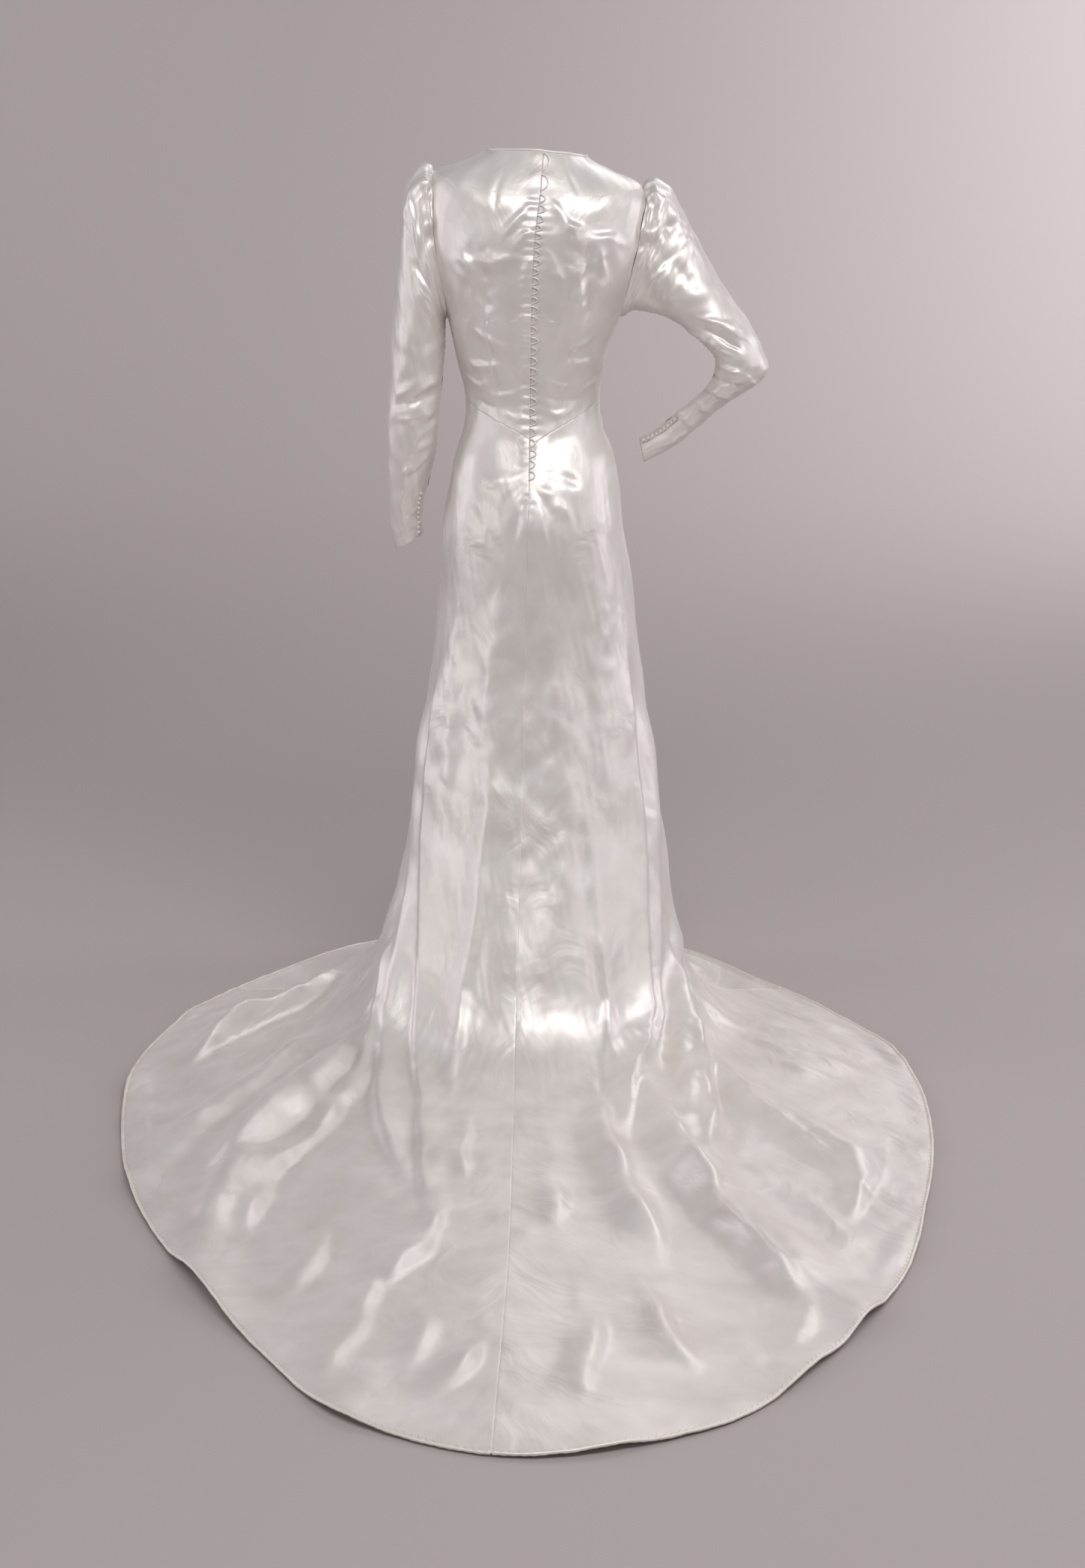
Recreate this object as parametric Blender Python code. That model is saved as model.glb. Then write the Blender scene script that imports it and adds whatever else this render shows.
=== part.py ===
"""A long-sleeved, bias-cut satin wedding dress with a spread train, as it hangs on its wearer.

Metres, +Z up, +X to the wearer's right, +Y to the front. The origin lies between the shoulders,
where the wearer carries the dress. A place on bodice or skirt is an angle round the body (0 at the
centre back, +90 degrees at the wearer's right, 180 at the front) and a level: a height above the
floor while it is positive, and then the share of the way along the floor to the hem, as a negative.
"""

import math

import bmesh
import bpy
import numpy as np
from mathutils import Vector

# Driving dimensions
SHOULDER_HEIGHT = 1.440
WALL = 0.002
SEAM_GAP = 0.0003
SQUARENESS = 0.12
SHOULDER_TILT = 0.066
TILT_FROM, TILT_TO = 1.22, 1.42

# Levels of the main lines
NECK = 1.470
SHOULDER_TIP = 1.430
ARMPIT = 1.205
WAIST_SIDE = 1.070
WAIST_POINT = 1.006
HIP = 0.890
PLACKET_TOP = 1.461
PLACKET_END = 0.955

# Armholes, sleeves and the turn of the skirt onto the floor
ARMHOLE_OPEN = math.radians(28)
ARMHOLE_RADIUS = 0.16
ARMHOLE_GAP = 0.0006
SLEEVE_COLUMNS = 20
GATHER_DEPTH = 0.0035
BEND_HEIGHT = 0.15
BEND_RUN = 0.13
HEM_LIFT = 0.002

# Trims
BINDING_RADIUS = 0.0022
HEM_RADIUS = 0.003
HEM_END_GAP = 0.0007
CORD_GAP = 0.001
LOOP_COUNT = 31
LOOP_RADIUS = 0.0012
LOOP_REACH = 0.010
LOOP_HALF = 0.0064
BUTTON_RADIUS = 0.0045
BUTTON_HEIGHT = 0.003
BUTTON_TOP = 0.55
STAND_PAST = 0.006
STAND_WIDTH = 0.015
CUFF_BUTTONS = 9
CUFF_BUTTON_RADIUS = 0.0032
CUFF_BUTTON_HEIGHT = 0.003
CUFF_STRIP_WIDTH = 0.007
CUFF_STRIP_TURN = math.radians(225)
CUFF_STRIP_END = 0.002
STRIP_WALL = 0.001

# Half-widths and depths of the dress at each height, and how far the line dips at back and front
BODY_COLUMNS = ("level", "left", "right", "back", "front", "back_dip", "front_dip")
BODY_ROWS = (
    (1.484, 0.070, 0.078, 0.056, 0.072, -0.004, 0.036),
    (1.470, 0.080, 0.087, 0.062, 0.080, -0.004, 0.040),
    (1.452, 0.116, 0.127, 0.084, 0.092, 0.012, 0.050),
    (1.430, 0.166, 0.178, 0.103, 0.104, 0.027, 0.052),
    (1.400, 0.175, 0.190, 0.112, 0.116, 0.026, 0.044),
    (1.340, 0.182, 0.188, 0.118, 0.130, 0.014, 0.024),
    (1.276, 0.169, 0.172, 0.117, 0.141, 0.005, 0.008),
    (1.205, 0.146, 0.143, 0.110, 0.144, 0.0, 0.0),
    (1.139, 0.131, 0.120, 0.099, 0.124, 0.0, 0.0),
    (1.062, 0.117, 0.110, 0.090, 0.103, 0.0, 0.0),
    (1.020, 0.121, 0.117, 0.096, 0.104, 0.0, 0.0),
    (0.975, 0.136, 0.135, 0.116, 0.110, 0.0, 0.0),
    (0.930, 0.145, 0.142, 0.138, 0.116, 0.0, 0.0),
    (0.860, 0.156, 0.150, 0.154, 0.122, 0.0, 0.0),
    (0.760, 0.163, 0.166, 0.154, 0.128, 0.0, 0.0),
    (0.668, 0.173, 0.177, 0.160, 0.134, 0.0, 0.0),
    (0.561, 0.188, 0.191, 0.180, 0.144, 0.0, 0.0),
    (0.452, 0.202, 0.206, 0.208, 0.156, 0.0, 0.0),
    (0.341, 0.220, 0.222, 0.244, 0.170, 0.0, 0.0),
    (0.244, 0.236, 0.233, 0.284, 0.184, 0.0, 0.0),
    (0.166, 0.253, 0.244, 0.320, 0.196, 0.0, 0.0),
    (0.080, 0.282, 0.256, 0.354, 0.208, 0.0, 0.0),
    (0.000, 0.315, 0.270, 0.380, 0.216, 0.0, 0.0),
)

# Distance of the hem from the body's axis, by the angle round it in degrees
HEM_COLUMNS = ("angle", "distance")
HEM_ROWS = (
    (-180, 0.300),
    (-150, 0.348),
    (-118, 0.429),
    (-100, 0.484),
    (-80, 0.608),
    (-66, 0.715),
    (-47, 0.880),
    (-34, 1.040),
    (-23, 1.200),
    (-15, 1.352),
    (-8, 1.500),
    (0, 1.558),
    (8, 1.512),
    (16, 1.376),
    (25, 1.205),
    (33, 1.045),
    (46, 0.861),
    (64, 0.670),
    (78, 0.527),
    (101, 0.395),
    (126, 0.348),
    (150, 0.318),
    (180, 0.300),
)

# Sideways drift of the centre-back line on its way down
CENTRE_COLUMNS = ("level", "offset")
CENTRE_ROWS = (
    (1.484, 0.016),
    (1.358, 0.001),
    (1.240, -0.004),
    (1.006, -0.008),
    (0.700, -0.015),
    (0.400, -0.022),
    (0.147, -0.029),
    (0.000, -0.031),
    (-0.500, -0.033),
    (-1.000, -0.047),
)

# Sleeve sections: the two ends of each ring in the arm's plane, its middle and its half-depth
SLEEVE_NAMES = ("station", "inner_x", "inner_z", "outer_x", "outer_z", "middle_y", "half_depth")
SLEEVE_LEFT = (
    (1, -0.150, 1.202, -0.181, 1.450, 0.004, 0.066),
    (2, -0.151, 1.196, -0.205, 1.427, 0.003, 0.069),
    (3, -0.151, 1.190, -0.221, 1.373, 0.001, 0.068),
    (4, -0.151, 1.182, -0.229, 1.300, -0.003, 0.065),
    (5, -0.151, 1.168, -0.236, 1.220, -0.006, 0.060),
    (6, -0.153, 1.135, -0.242, 1.150, -0.010, 0.055),
    (7, -0.158, 1.085, -0.247, 1.075, -0.012, 0.050),
    (8, -0.163, 1.030, -0.251, 1.021, -0.010, 0.046),
    (9, -0.168, 0.985, -0.251, 0.960, -0.006, 0.042),
    (10, -0.180, 0.935, -0.251, 0.905, 0.000, 0.036),
    (11, -0.192, 0.885, -0.249, 0.855, 0.008, 0.031),
    (12, -0.194, 0.838, -0.240, 0.811, 0.014, 0.028),
)
SLEEVE_RIGHT = (
    (1, 0.151, 1.207, 0.196, 1.426, 0.004, 0.066),
    (2, 0.157, 1.212, 0.221, 1.416, 0.003, 0.069),
    (3, 0.169, 1.216, 0.246, 1.375, -0.001, 0.067),
    (4, 0.188, 1.214, 0.268, 1.338, -0.008, 0.063),
    (5, 0.211, 1.209, 0.293, 1.292, -0.018, 0.058),
    (6, 0.236, 1.198, 0.322, 1.246, -0.027, 0.053),
    (7, 0.263, 1.178, 0.354, 1.204, -0.036, 0.049),
    (8, 0.286, 1.158, 0.377, 1.163, -0.044, 0.046),
    (9, 0.301, 1.137, 0.390, 1.127, -0.050, 0.044),
    (10, 0.299, 1.115, 0.378, 1.103, -0.048, 0.042),
    (11, 0.287, 1.092, 0.345, 1.080, -0.038, 0.038),
    (12, 0.265, 1.068, 0.309, 1.052, -0.018, 0.034),
    (13, 0.239, 1.044, 0.274, 1.017, 0.005, 0.030),
    (14, 0.213, 1.018, 0.244, 0.988, 0.027, 0.027),
    (15, 0.180, 0.996, 0.188, 0.955, 0.048, 0.024),
)

# Largest folds: crest height, half-width on either side of the crest, and its route as levels and angles
FOLD_COLUMNS = ("height", "near_side", "far_side", "levels", "angles")
FOLD_ROWS = (
    (0.018, 0.045, 0.020, (0.62, 0.00, -0.49), (-75, -45, -11)),
    (0.018, 0.020, 0.045, (0.60, 0.00, -0.22), (75, 43, 11)),
    (0.022, 0.050, 0.030, (0.20, -0.10, -0.38), (80, 42, 20)),
    (0.032, 0.050, 0.050, (0.25, -0.10, -1.00), (-70, -47, -23)),
    (0.024, 0.040, 0.040, (-0.05, -0.40, -0.85), (-112, -82, -58)),
    (0.024, 0.045, 0.045, (-0.20, -0.50, -1.00), (-65, -47, -36)),
    (0.016, 0.040, 0.040, (-0.12, -0.35, -0.65), (10, 10, 9)),
    (0.030, 0.050, 0.050, (0.04, -0.40, -1.00), (28, 18, 19)),
    (0.026, 0.045, 0.045, (0.04, -0.40, -0.90), (56, 38, 32)),
    (0.010, 0.030, 0.030, (0.70, 0.30, -0.60), (150, 152, 154)),
    (0.010, 0.030, 0.030, (0.60, 0.30, -0.60), (-155, -156, -158)),
    (0.009, 0.030, 0.030, (0.50, 0.20, -0.60), (118, 117, 115)),
)
FOLD_FADE = 0.16

# Share of its height that a fold keeps at the hem, and the level where it starts to sink
HEM_SHARE = 0.4
SINK_FROM = -0.70

# One button loop: reach across the opening as a share of LOOP_REACH, and rise as a share of LOOP_HALF
LOOP_SHAPE = (
    (-0.10, 1.00),
    (0.35, 0.85),
    (0.82, 0.50),
    (1.00, 0.00),
    (0.82, -0.50),
    (0.35, -0.85),
    (-0.10, -1.00),
)

# Rows and columns of the panels
BODICE_ROWS_BELOW = 5
BACK_COLUMNS = 14
FRONT_COLUMNS = 16
TRAIN_SPREAD = 1.5
SKIRT_ROWS_ABOVE = 3
SKIRT_LEVELS = (0.82, 0.74, 0.65, 0.55, 0.45, 0.35, 0.26, 0.17, 0.10, 0.05, 0.00)
SKIRT_REACHES = (0.05, 0.10, 0.18, 0.27, 0.38, 0.50, 0.63, 0.76, 0.88, 1.00)

SATIN = (0.86, 0.84, 0.80)
CORDED = (0.84, 0.81, 0.76)


class Table:
    """Rows of named columns, read smoothly by the value of the first column."""

    SAMPLES = 600

    def __init__(self, names, rows):
        values = np.array(sorted(rows), float)
        keys = values[:, 0]
        self.keys = np.linspace(keys[0], keys[-1], self.SAMPLES)
        self.columns = {name: self._smooth(keys, values[:, i + 1]) for i, name in enumerate(names[1:])}

    def _smooth(self, keys, values):
        """A cubic through the values that never swings past them."""
        spans = np.diff(keys)
        slopes = np.diff(values) / spans
        tangents = np.zeros(len(keys))
        tangents[0], tangents[-1] = slopes[0], slopes[-1]
        same_way = slopes[:-1] * slopes[1:] > 0
        either = np.where(same_way, slopes[:-1] + slopes[1:], 1)
        tangents[1:-1] = np.where(same_way, 2 * slopes[:-1] * slopes[1:] / either, 0)
        k = np.clip(np.searchsorted(keys, self.keys, "right") - 1, 0, len(spans) - 1)
        t = (self.keys - keys[k]) / spans[k]
        rise = tangents[k] * spans[k] * t * (1 - t) ** 2 - tangents[k + 1] * spans[k] * t**2 * (1 - t)
        return values[k] + (values[k + 1] - values[k]) * t**2 * (3 - 2 * t) + rise

    def at(self, key, name):
        return np.interp(key, self.keys, self.columns[name])


BODY = Table(BODY_COLUMNS, BODY_ROWS)
HEM = Table(HEM_COLUMNS, HEM_ROWS)
CENTRE = Table(CENTRE_COLUMNS, CENTRE_ROWS)


def ease(start, end, value):
    """A smooth step from 0 at start to 1 at end."""
    t = np.clip((value - start) / (end - start), 0, 1)
    return t * t * (3 - 2 * t)


def mix(first, second, share):
    return first + (second - first) * share


def unit(vectors):
    return vectors / np.linalg.norm(vectors, axis=-1, keepdims=True)


# Surface of bodice, skirt and train


def hanging(angle, height):
    """A point of the hanging cloth, before its folds."""
    side, back = np.sin(angle), np.cos(angle)
    width = np.where(side > 0, BODY.at(height, "right"), BODY.at(height, "left"))
    depth = np.where(back > 0, BODY.at(height, "back"), BODY.at(height, "front"))
    dip = np.where(back > 0, BODY.at(height, "back_dip"), BODY.at(height, "front_dip"))
    x = width * side * (1 + SQUARENESS * back**2)
    y = -depth * back * (1 + SQUARENESS * side**2)
    tilt = SHOULDER_TILT * x * ease(TILT_FROM, TILT_TO, height)
    return np.stack([x, y, height - dip * back**2 - tilt - SHOULDER_HEIGHT], axis=-1)


def on_floor(angle, reach):
    """A point of the cloth that lies on the floor, and the length of its run from foot to hem."""
    foot = hanging(angle, 0 * angle)
    degrees = (np.degrees(angle) + 180) % 360 - 180
    distance = HEM.at(degrees, "distance")
    hem = np.stack([distance * np.sin(angle), -distance * np.cos(angle), foot[..., 2]], axis=-1)
    point = mix(foot, hem, reach[..., None])
    point[..., 2] += WALL + HEM_LIFT * ease(0.9, 1.0, reach)
    return point, np.linalg.norm(hem - foot, axis=-1)


def smooth_cloth(angle, level):
    """A point of the cloth without folds, from the neck down to the floor and out to the hem."""
    _, run = on_floor(angle, 0 * angle)
    bend_reach = np.minimum(0.5, BEND_RUN / run)
    above = hanging(angle, np.maximum(level, BEND_HEIGHT))
    foot = hanging(angle, 0 * angle)
    foot[..., 2] += WALL
    beyond, _ = on_floor(angle, np.maximum(-level, bend_reach))
    t = np.clip((BEND_HEIGHT - level) / (BEND_HEIGHT + bend_reach), 0, 1)[..., None]
    return (1 - t) ** 2 * above + 2 * t * (1 - t) * foot + t**2 * beyond


def normal_of(surface, first, second):
    """The outward normal of a surface of two coordinates."""
    step = 1e-3
    along = surface(first + step, second) - surface(first - step, second)
    down = surface(first, second + step) - surface(first, second - step)
    return unit(np.cross(along, down))


def fold_height(angle, level):
    """How far the folds raise the cloth."""
    point = smooth_cloth(angle, level)
    radius = np.hypot(point[..., 0], point[..., 1])
    total = np.zeros_like(radius)
    for row in FOLD_ROWS:
        fold = dict(zip(FOLD_COLUMNS, row))
        levels = np.array(fold["levels"])
        crest = np.radians(np.interp(-level, -levels, fold["angles"]))
        across = ((angle - crest + math.pi) % math.tau - math.pi) * radius
        width = np.where(across > 0, fold["near_side"], fold["far_side"])
        window = ease(levels[0], levels[0] - FOLD_FADE, level)
        if levels[-1] > -1:
            window = window * ease(levels[-1], levels[-1] + FOLD_FADE, level)
        total += fold["height"] * np.exp(-((across / width) ** 2)) * window
    return total * mix(1.0, HEM_SHARE, ease(SINK_FROM, -1.0, level))


def cloth(angle, level):
    """A point of the dress's outer face."""
    angle, level = np.broadcast_arrays(np.asarray(angle, float), np.asarray(level, float))
    lift = fold_height(angle, level)[..., None]
    return smooth_cloth(angle, level) + normal_of(smooth_cloth, angle, level) * lift


def radius_at(angle, level):
    """Metres of cloth for each radian at a place."""
    step = 0.01
    return np.linalg.norm(cloth(angle + step, level) - cloth(angle - step, level), axis=-1) / (2 * step)


def centre_angle(level):
    """The angle of the centre-back line at a level."""
    return CENTRE.at(level, "offset") / radius_at(0.0, level)


def waist_level(angle):
    """The waist seam: level at sides and front, with a point at the centre back."""
    rise = np.where(np.cos(angle) > 0, np.abs(np.sin(angle)) ** 0.85, 1.0)
    return mix(WAIST_POINT, WAIST_SIDE, rise)


# Solids


def satin_material(name, colour, roughness):
    material = bpy.data.materials.new(name)
    material.use_nodes = True
    shader = material.node_tree.nodes["Principled BSDF"]
    shader.inputs["Base Color"].default_value = (*colour, 1.0)
    shader.inputs["Roughness"].default_value = roughness
    shader.inputs["Metallic"].default_value = 0.0
    return material


def add_mesh(name, points, faces, colour, roughness=0.35):
    mesh = bpy.data.meshes.new(name)
    mesh.from_pydata([tuple(p) for p in points], [], faces)
    mesh.shade_smooth()
    mesh.set_sharp_from_angle(angle=math.radians(50))
    item = bpy.data.objects.new(name, mesh)
    item.data.materials.append(satin_material(name + "_finish", colour, roughness))
    bpy.data.collections["wedding_dress"].objects.link(item)
    return item


def add_wall(name, outer, inner, closed=False, colour=SATIN):
    """A wall between two grids of points, split alike on both faces; closed joins last column to first."""
    rows, columns = outer.shape[:2]
    count = rows * columns
    spans = columns if closed else columns - 1

    def corner(row, column, layer):
        return layer * count + row * columns + column % columns

    faces = []
    for row in range(rows - 1):
        for column in range(spans):
            quad = ((row, column), (row, column + 1), (row + 1, column + 1), (row + 1, column))
            for half in (quad[:3], (quad[0], *quad[2:])):
                faces.append([corner(*place, 0) for place in half])
                faces.append([corner(*place, 1) for place in reversed(half)])
    for column in range(spans):
        for row, ahead in ((0, True), (rows - 1, False)):
            rim = [
                corner(row, column, 0),
                corner(row, column, 1),
                corner(row, column + 1, 1),
                corner(row, column + 1, 0),
            ]
            faces.append(rim if ahead else rim[::-1])
    if not closed:
        for row in range(rows - 1):
            for column, ahead in ((0, False), (columns - 1, True)):
                rim = [
                    corner(row, column, 0),
                    corner(row, column, 1),
                    corner(row + 1, column, 1),
                    corner(row + 1, column, 0),
                ]
                faces.append(rim if ahead else rim[::-1])
    item = add_mesh(name, np.concatenate([outer.reshape(-1, 3), inner.reshape(-1, 3)]), faces, colour)
    face_out(item.data)
    return item


def face_out(mesh):
    """Turns every face of a closed mesh outwards."""
    work = bmesh.new()
    work.from_mesh(mesh)
    bmesh.ops.recalc_face_normals(work, faces=work.faces)
    if work.calc_volume(signed=True) < 0:
        bmesh.ops.reverse_faces(work, faces=work.faces)
    work.to_mesh(mesh)
    work.free()


def add_tube(name, points, radius, resolution, colour=CORDED):
    """A cord along the points."""
    curve = bpy.data.curves.new(name, "CURVE")
    curve.dimensions = "3D"
    curve.bevel_depth = radius
    curve.bevel_resolution = resolution
    curve.use_fill_caps = True
    spline = curve.splines.new("POLY")
    spline.points.add(len(points) - 1)
    for place, point in zip(spline.points, points):
        place.co = (*point, 1.0)
    item = bpy.data.objects.new(name, curve)
    item.data.materials.append(satin_material(name + "_finish", colour, 0.4))
    bpy.data.collections["wedding_dress"].objects.link(item)
    return item


def add_panel(name, angle, level):
    """A cloth panel through a grid of angles and levels."""
    outer = cloth(angle, level)
    inner = outer - normal_of(cloth, angle, level) * WALL
    return add_wall(name, outer, inner)


# Bodice


def armhole_levels():
    """The heights of the sleeve's columns on one edge of an armhole, top to bottom."""
    half = SLEEVE_COLUMNS // 2
    turns = [math.pi * step / half for step in range(half + 1)]
    return [mix(ARMPIT, SHOULDER_TIP, (1 + math.cos(turn)) / 2) for turn in turns]


def armhole_cut(level):
    """How far the armhole's edge lies from the side, as an angle."""
    middle, half = (SHOULDER_TIP + ARMPIT) / 2, (SHOULDER_TIP - ARMPIT) / 2
    return ARMHOLE_OPEN * np.sqrt(np.clip(1 - ((level - middle) / half) ** 2, 0, 1))


def bodice_levels(angle):
    """Row levels of bodice columns: fixed down to the armpit, then in step with the waist seam."""
    fixed = [np.full_like(angle, level) for level in (NECK, 1.452, *armhole_levels())]
    bottom = waist_level(angle) + SEAM_GAP / 2
    steps = [mix(ARMPIT, bottom, (i + 1) / BODICE_ROWS_BELOW) for i in range(BODICE_ROWS_BELOW)]
    return np.stack(fixed + steps)


def skirt_levels(angle):
    """Row levels of skirt columns: in step with the waist seam down to the hip, then fixed."""
    top = waist_level(angle) - SEAM_GAP / 2
    steps = [mix(top, HIP, i / SKIRT_ROWS_ABOVE) for i in range(SKIRT_ROWS_ABOVE + 1)]
    lower = [*SKIRT_LEVELS, *(-reach for reach in SKIRT_REACHES)]
    return np.stack(steps + [np.full_like(angle, level) for level in lower])


def panel_places(levels_of, start_of, end_of, columns, spread=1.0):
    """Grids of angles and levels between two edges; a spread crowds the columns near the start."""
    shares = np.linspace(0, 1, columns + 1)
    waist = np.full_like(shares, WAIST_SIDE)
    level = levels_of(mix(start_of(waist), end_of(waist), shares))
    crowding = 1 + (spread - 1) * ease(HIP, 0.0, level)
    return mix(start_of(level), end_of(level), shares**crowding), level


def gap_angle(angle, level):
    return SEAM_GAP / 2 / radius_at(angle, level)


def side_angle(level, side, face):
    """The side seam or armhole edge of a back (face -1) or front (face +1) panel on one side."""
    away = np.maximum(armhole_cut(level), gap_angle(side * math.pi / 2, level))
    return side * (math.pi / 2 + face * away)


def centre_edge(level, side):
    return centre_angle(level) + side * gap_angle(0.0, level)


def make_back(name, side, levels_of):
    """A back panel, from the centre back to the side."""
    places = panel_places(
        levels_of,
        lambda v: centre_edge(v, side),
        lambda v: side_angle(v, side, -1),
        BACK_COLUMNS,
        TRAIN_SPREAD,
    )
    return add_panel(name, *places)


def make_front(name, levels_of):
    """A front panel, from the right side round to the left."""
    places = panel_places(
        levels_of,
        lambda v: side_angle(v, 1, 1),
        lambda v: math.tau + side_angle(v, -1, 1),
        FRONT_COLUMNS,
    )
    return add_panel(name, *places)


# Sleeves


class Sleeve:
    """A sleeve's surface: a turn round it (0 outside, half a turn inside) and a station along it."""

    def __init__(self, side, rows):
        self.side = side
        top, bottom = self.armhole(0.0), self.armhole(math.pi)
        back, front = self.armhole(-math.pi / 2), self.armhole(math.pi / 2)
        height = SHOULDER_HEIGHT
        depth, middle = (front[1] - back[1]) / 2, (front[1] + back[1]) / 2
        first = (0, bottom[0], bottom[2] + height, top[0], top[2] + height, middle, depth)
        self.table = Table(SLEEVE_NAMES, (first, *rows))
        self.last = rows[-1][0]

    def armhole(self, turn):
        """A point of the armhole's edge, a gap inside the bodice's own edge."""
        turn = np.asarray(turn, float)
        middle, half = (SHOULDER_TIP + ARMPIT) / 2, (SHOULDER_TIP - ARMPIT) / 2
        level = middle + (half - ARMHOLE_GAP) * np.cos(turn)
        open_angle = ARMHOLE_OPEN - ARMHOLE_GAP / ARMHOLE_RADIUS
        return cloth(self.side * (math.pi / 2 + open_angle * np.sin(turn)), level)

    def ring(self, turn, station):
        read = self.table.at
        inner = [read(station, "inner_x"), read(station, "inner_z")]
        outer = [read(station, "outer_x"), read(station, "outer_z")]
        share = (1 + np.cos(turn)) / 2
        x, z = (mix(low, high, share) for low, high in zip(inner, outer))
        y = read(station, "middle_y") + read(station, "half_depth") * np.sin(turn)
        return np.stack([x, y, z - SHOULDER_HEIGHT], axis=-1)

    def plain(self, turn, station):
        """The sleeve before its gathers: rings that start as the armhole's own shape."""
        turn, station = np.broadcast_arrays(np.asarray(turn, float), np.asarray(station, float))
        from_armhole = np.clip(1 - station / 4, 0, 1)[..., None] ** 2
        return self.ring(turn, station) + (self.armhole(turn) - self.ring(turn, 0 * station)) * from_armhole

    def outward(self, surface, turn, station):
        normal = normal_of(surface, turn, station)
        out = surface(turn, station) - surface(turn + math.pi, station)
        facing = np.sign(np.sum(normal[..., :] * out, axis=-1, keepdims=True))
        return normal * facing

    def gathers(self, turn, station):
        """Pleats that fan out from the top of the armhole, a crest on every other column."""
        window = ease(0.0, 0.7, station) * ease(4.0, 1.5, station) * ease(-0.2, 0.3, np.cos(turn))
        return GATHER_DEPTH * np.cos(turn * SLEEVE_COLUMNS / 2) * window

    def surface(self, turn, station):
        turn, station = np.broadcast_arrays(np.asarray(turn, float), np.asarray(station, float))
        lift = self.gathers(turn, station)[..., None]
        return self.plain(turn, station) + self.outward(self.plain, turn, station) * lift


def make_sleeve(name, sleeve):
    stations = np.concatenate([[0, 0.4], np.arange(1, sleeve.last + 1)])
    turns = np.arange(SLEEVE_COLUMNS) * math.tau / SLEEVE_COLUMNS
    turn, station = np.meshgrid(turns, stations)
    outer = sleeve.surface(turn, station)
    inner = outer - sleeve.outward(sleeve.plain, turn, station) * WALL
    return add_wall(name, outer, inner, closed=True)


# Trims


def edge_cord_points(angles, level, beyond, radius):
    """The middle of a cord that follows a panel's edge, just past it, in the plane of its wall."""
    edge = cloth(angles, np.full(len(angles), level))
    normal = normal_of(cloth, angles, np.full(len(angles), level))
    along = np.gradient(edge, axis=0) * np.sign(angles[-1] - angles[0])
    away = unit(np.cross(normal, along)) * beyond
    return edge - normal * WALL / 2 + away * (radius + CORD_GAP)


def make_neck_binding():
    start = float(centre_edge(NECK, 1))
    end = math.tau + float(centre_edge(NECK, -1))
    angles = np.linspace(start, end, 2 * BACK_COLUMNS + FRONT_COLUMNS + 1)
    points = edge_cord_points(angles, NECK, 1, BINDING_RADIUS)
    add_tube("neck_binding", points, BINDING_RADIUS, 1)


def make_hem(name, start, end, columns, spread=1.0):
    """A hem cord with its points at the columns of its panel."""
    angles = mix(float(start), float(end), np.linspace(0, 1, columns + 1) ** spread)
    points = edge_cord_points(angles, -1.0, -1, HEM_RADIUS)
    points[0] += unit(points[1] - points[0]) * HEM_END_GAP
    points[-1] += unit(points[-2] - points[-1]) * HEM_END_GAP
    add_tube(name, points, HEM_RADIUS, 1)


def centre_rows():
    """Levels of the back panels' rows at the centre back, from the neck down."""
    centre = np.zeros(1)
    return np.concatenate([bodice_levels(centre)[:, 0], skirt_levels(centre)[:, 0]])


def placket_points(level, across, lift):
    """Places beside the centre-back line on the flat facets of the back panels, lifted off them."""
    level, across, lift = np.broadcast_arrays(level, across, lift)
    rows = centre_rows()
    below = np.clip(np.searchsorted(-rows, -level), 1, len(rows) - 1)
    ends = []
    for row in (rows[below - 1], rows[below]):
        angle = centre_angle(row) + across / radius_at(0.0, row)
        ends.append(cloth(angle, row) + normal_of(cloth, angle, row) * lift[..., None])
    share = (level - rows[below - 1]) / (rows[below] - rows[below - 1])
    return mix(ends[0], ends[1], share[..., None])


def loop_levels():
    return np.linspace(PLACKET_TOP, PLACKET_END, LOOP_COUNT)


def make_button_loops():
    """One rouleau that runs down the left edge and bows out over the right panel at each loop."""
    reaches, rises = np.array(LOOP_SHAPE).T
    levels = (loop_levels()[:, None] + rises * LOOP_HALF).ravel()
    across = np.tile(reaches * LOOP_REACH, LOOP_COUNT)
    points = placket_points(levels, across, LOOP_RADIUS + 2 * SEAM_GAP)
    add_tube("button_loops", points, LOOP_RADIUS, 0)


def add_domes(name, places, radius, height):
    """Covered buttons, their bases just sunk at their places, as a hidden shape to join to a strip."""
    work = bmesh.new()
    for point, out in places:
        made = bmesh.ops.create_cone(
            work,
            cap_ends=True,
            segments=6,
            radius1=radius,
            radius2=BUTTON_TOP * radius,
            depth=height + STRIP_WALL / 2,
        )
        out = Vector(out).normalized()
        turn = Vector((0, 0, 1)).rotation_difference(out).to_matrix()
        bmesh.ops.rotate(work, matrix=turn, verts=made["verts"])
        middle = Vector(point) + out * (height - STRIP_WALL / 2) / 2
        bmesh.ops.translate(work, vec=middle, verts=made["verts"])
    mesh = bpy.data.meshes.new(name)
    work.to_mesh(mesh)
    work.free()
    domes = bpy.data.objects.new(name, mesh)
    domes.hide_render = True
    domes.display_type = "WIRE"
    bpy.data.collections["cutters"].objects.link(domes)
    return domes


def join_domes(strip, domes):
    union = strip.modifiers.new("buttons", "BOOLEAN")
    union.operation = "UNION"
    union.object = domes


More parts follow.
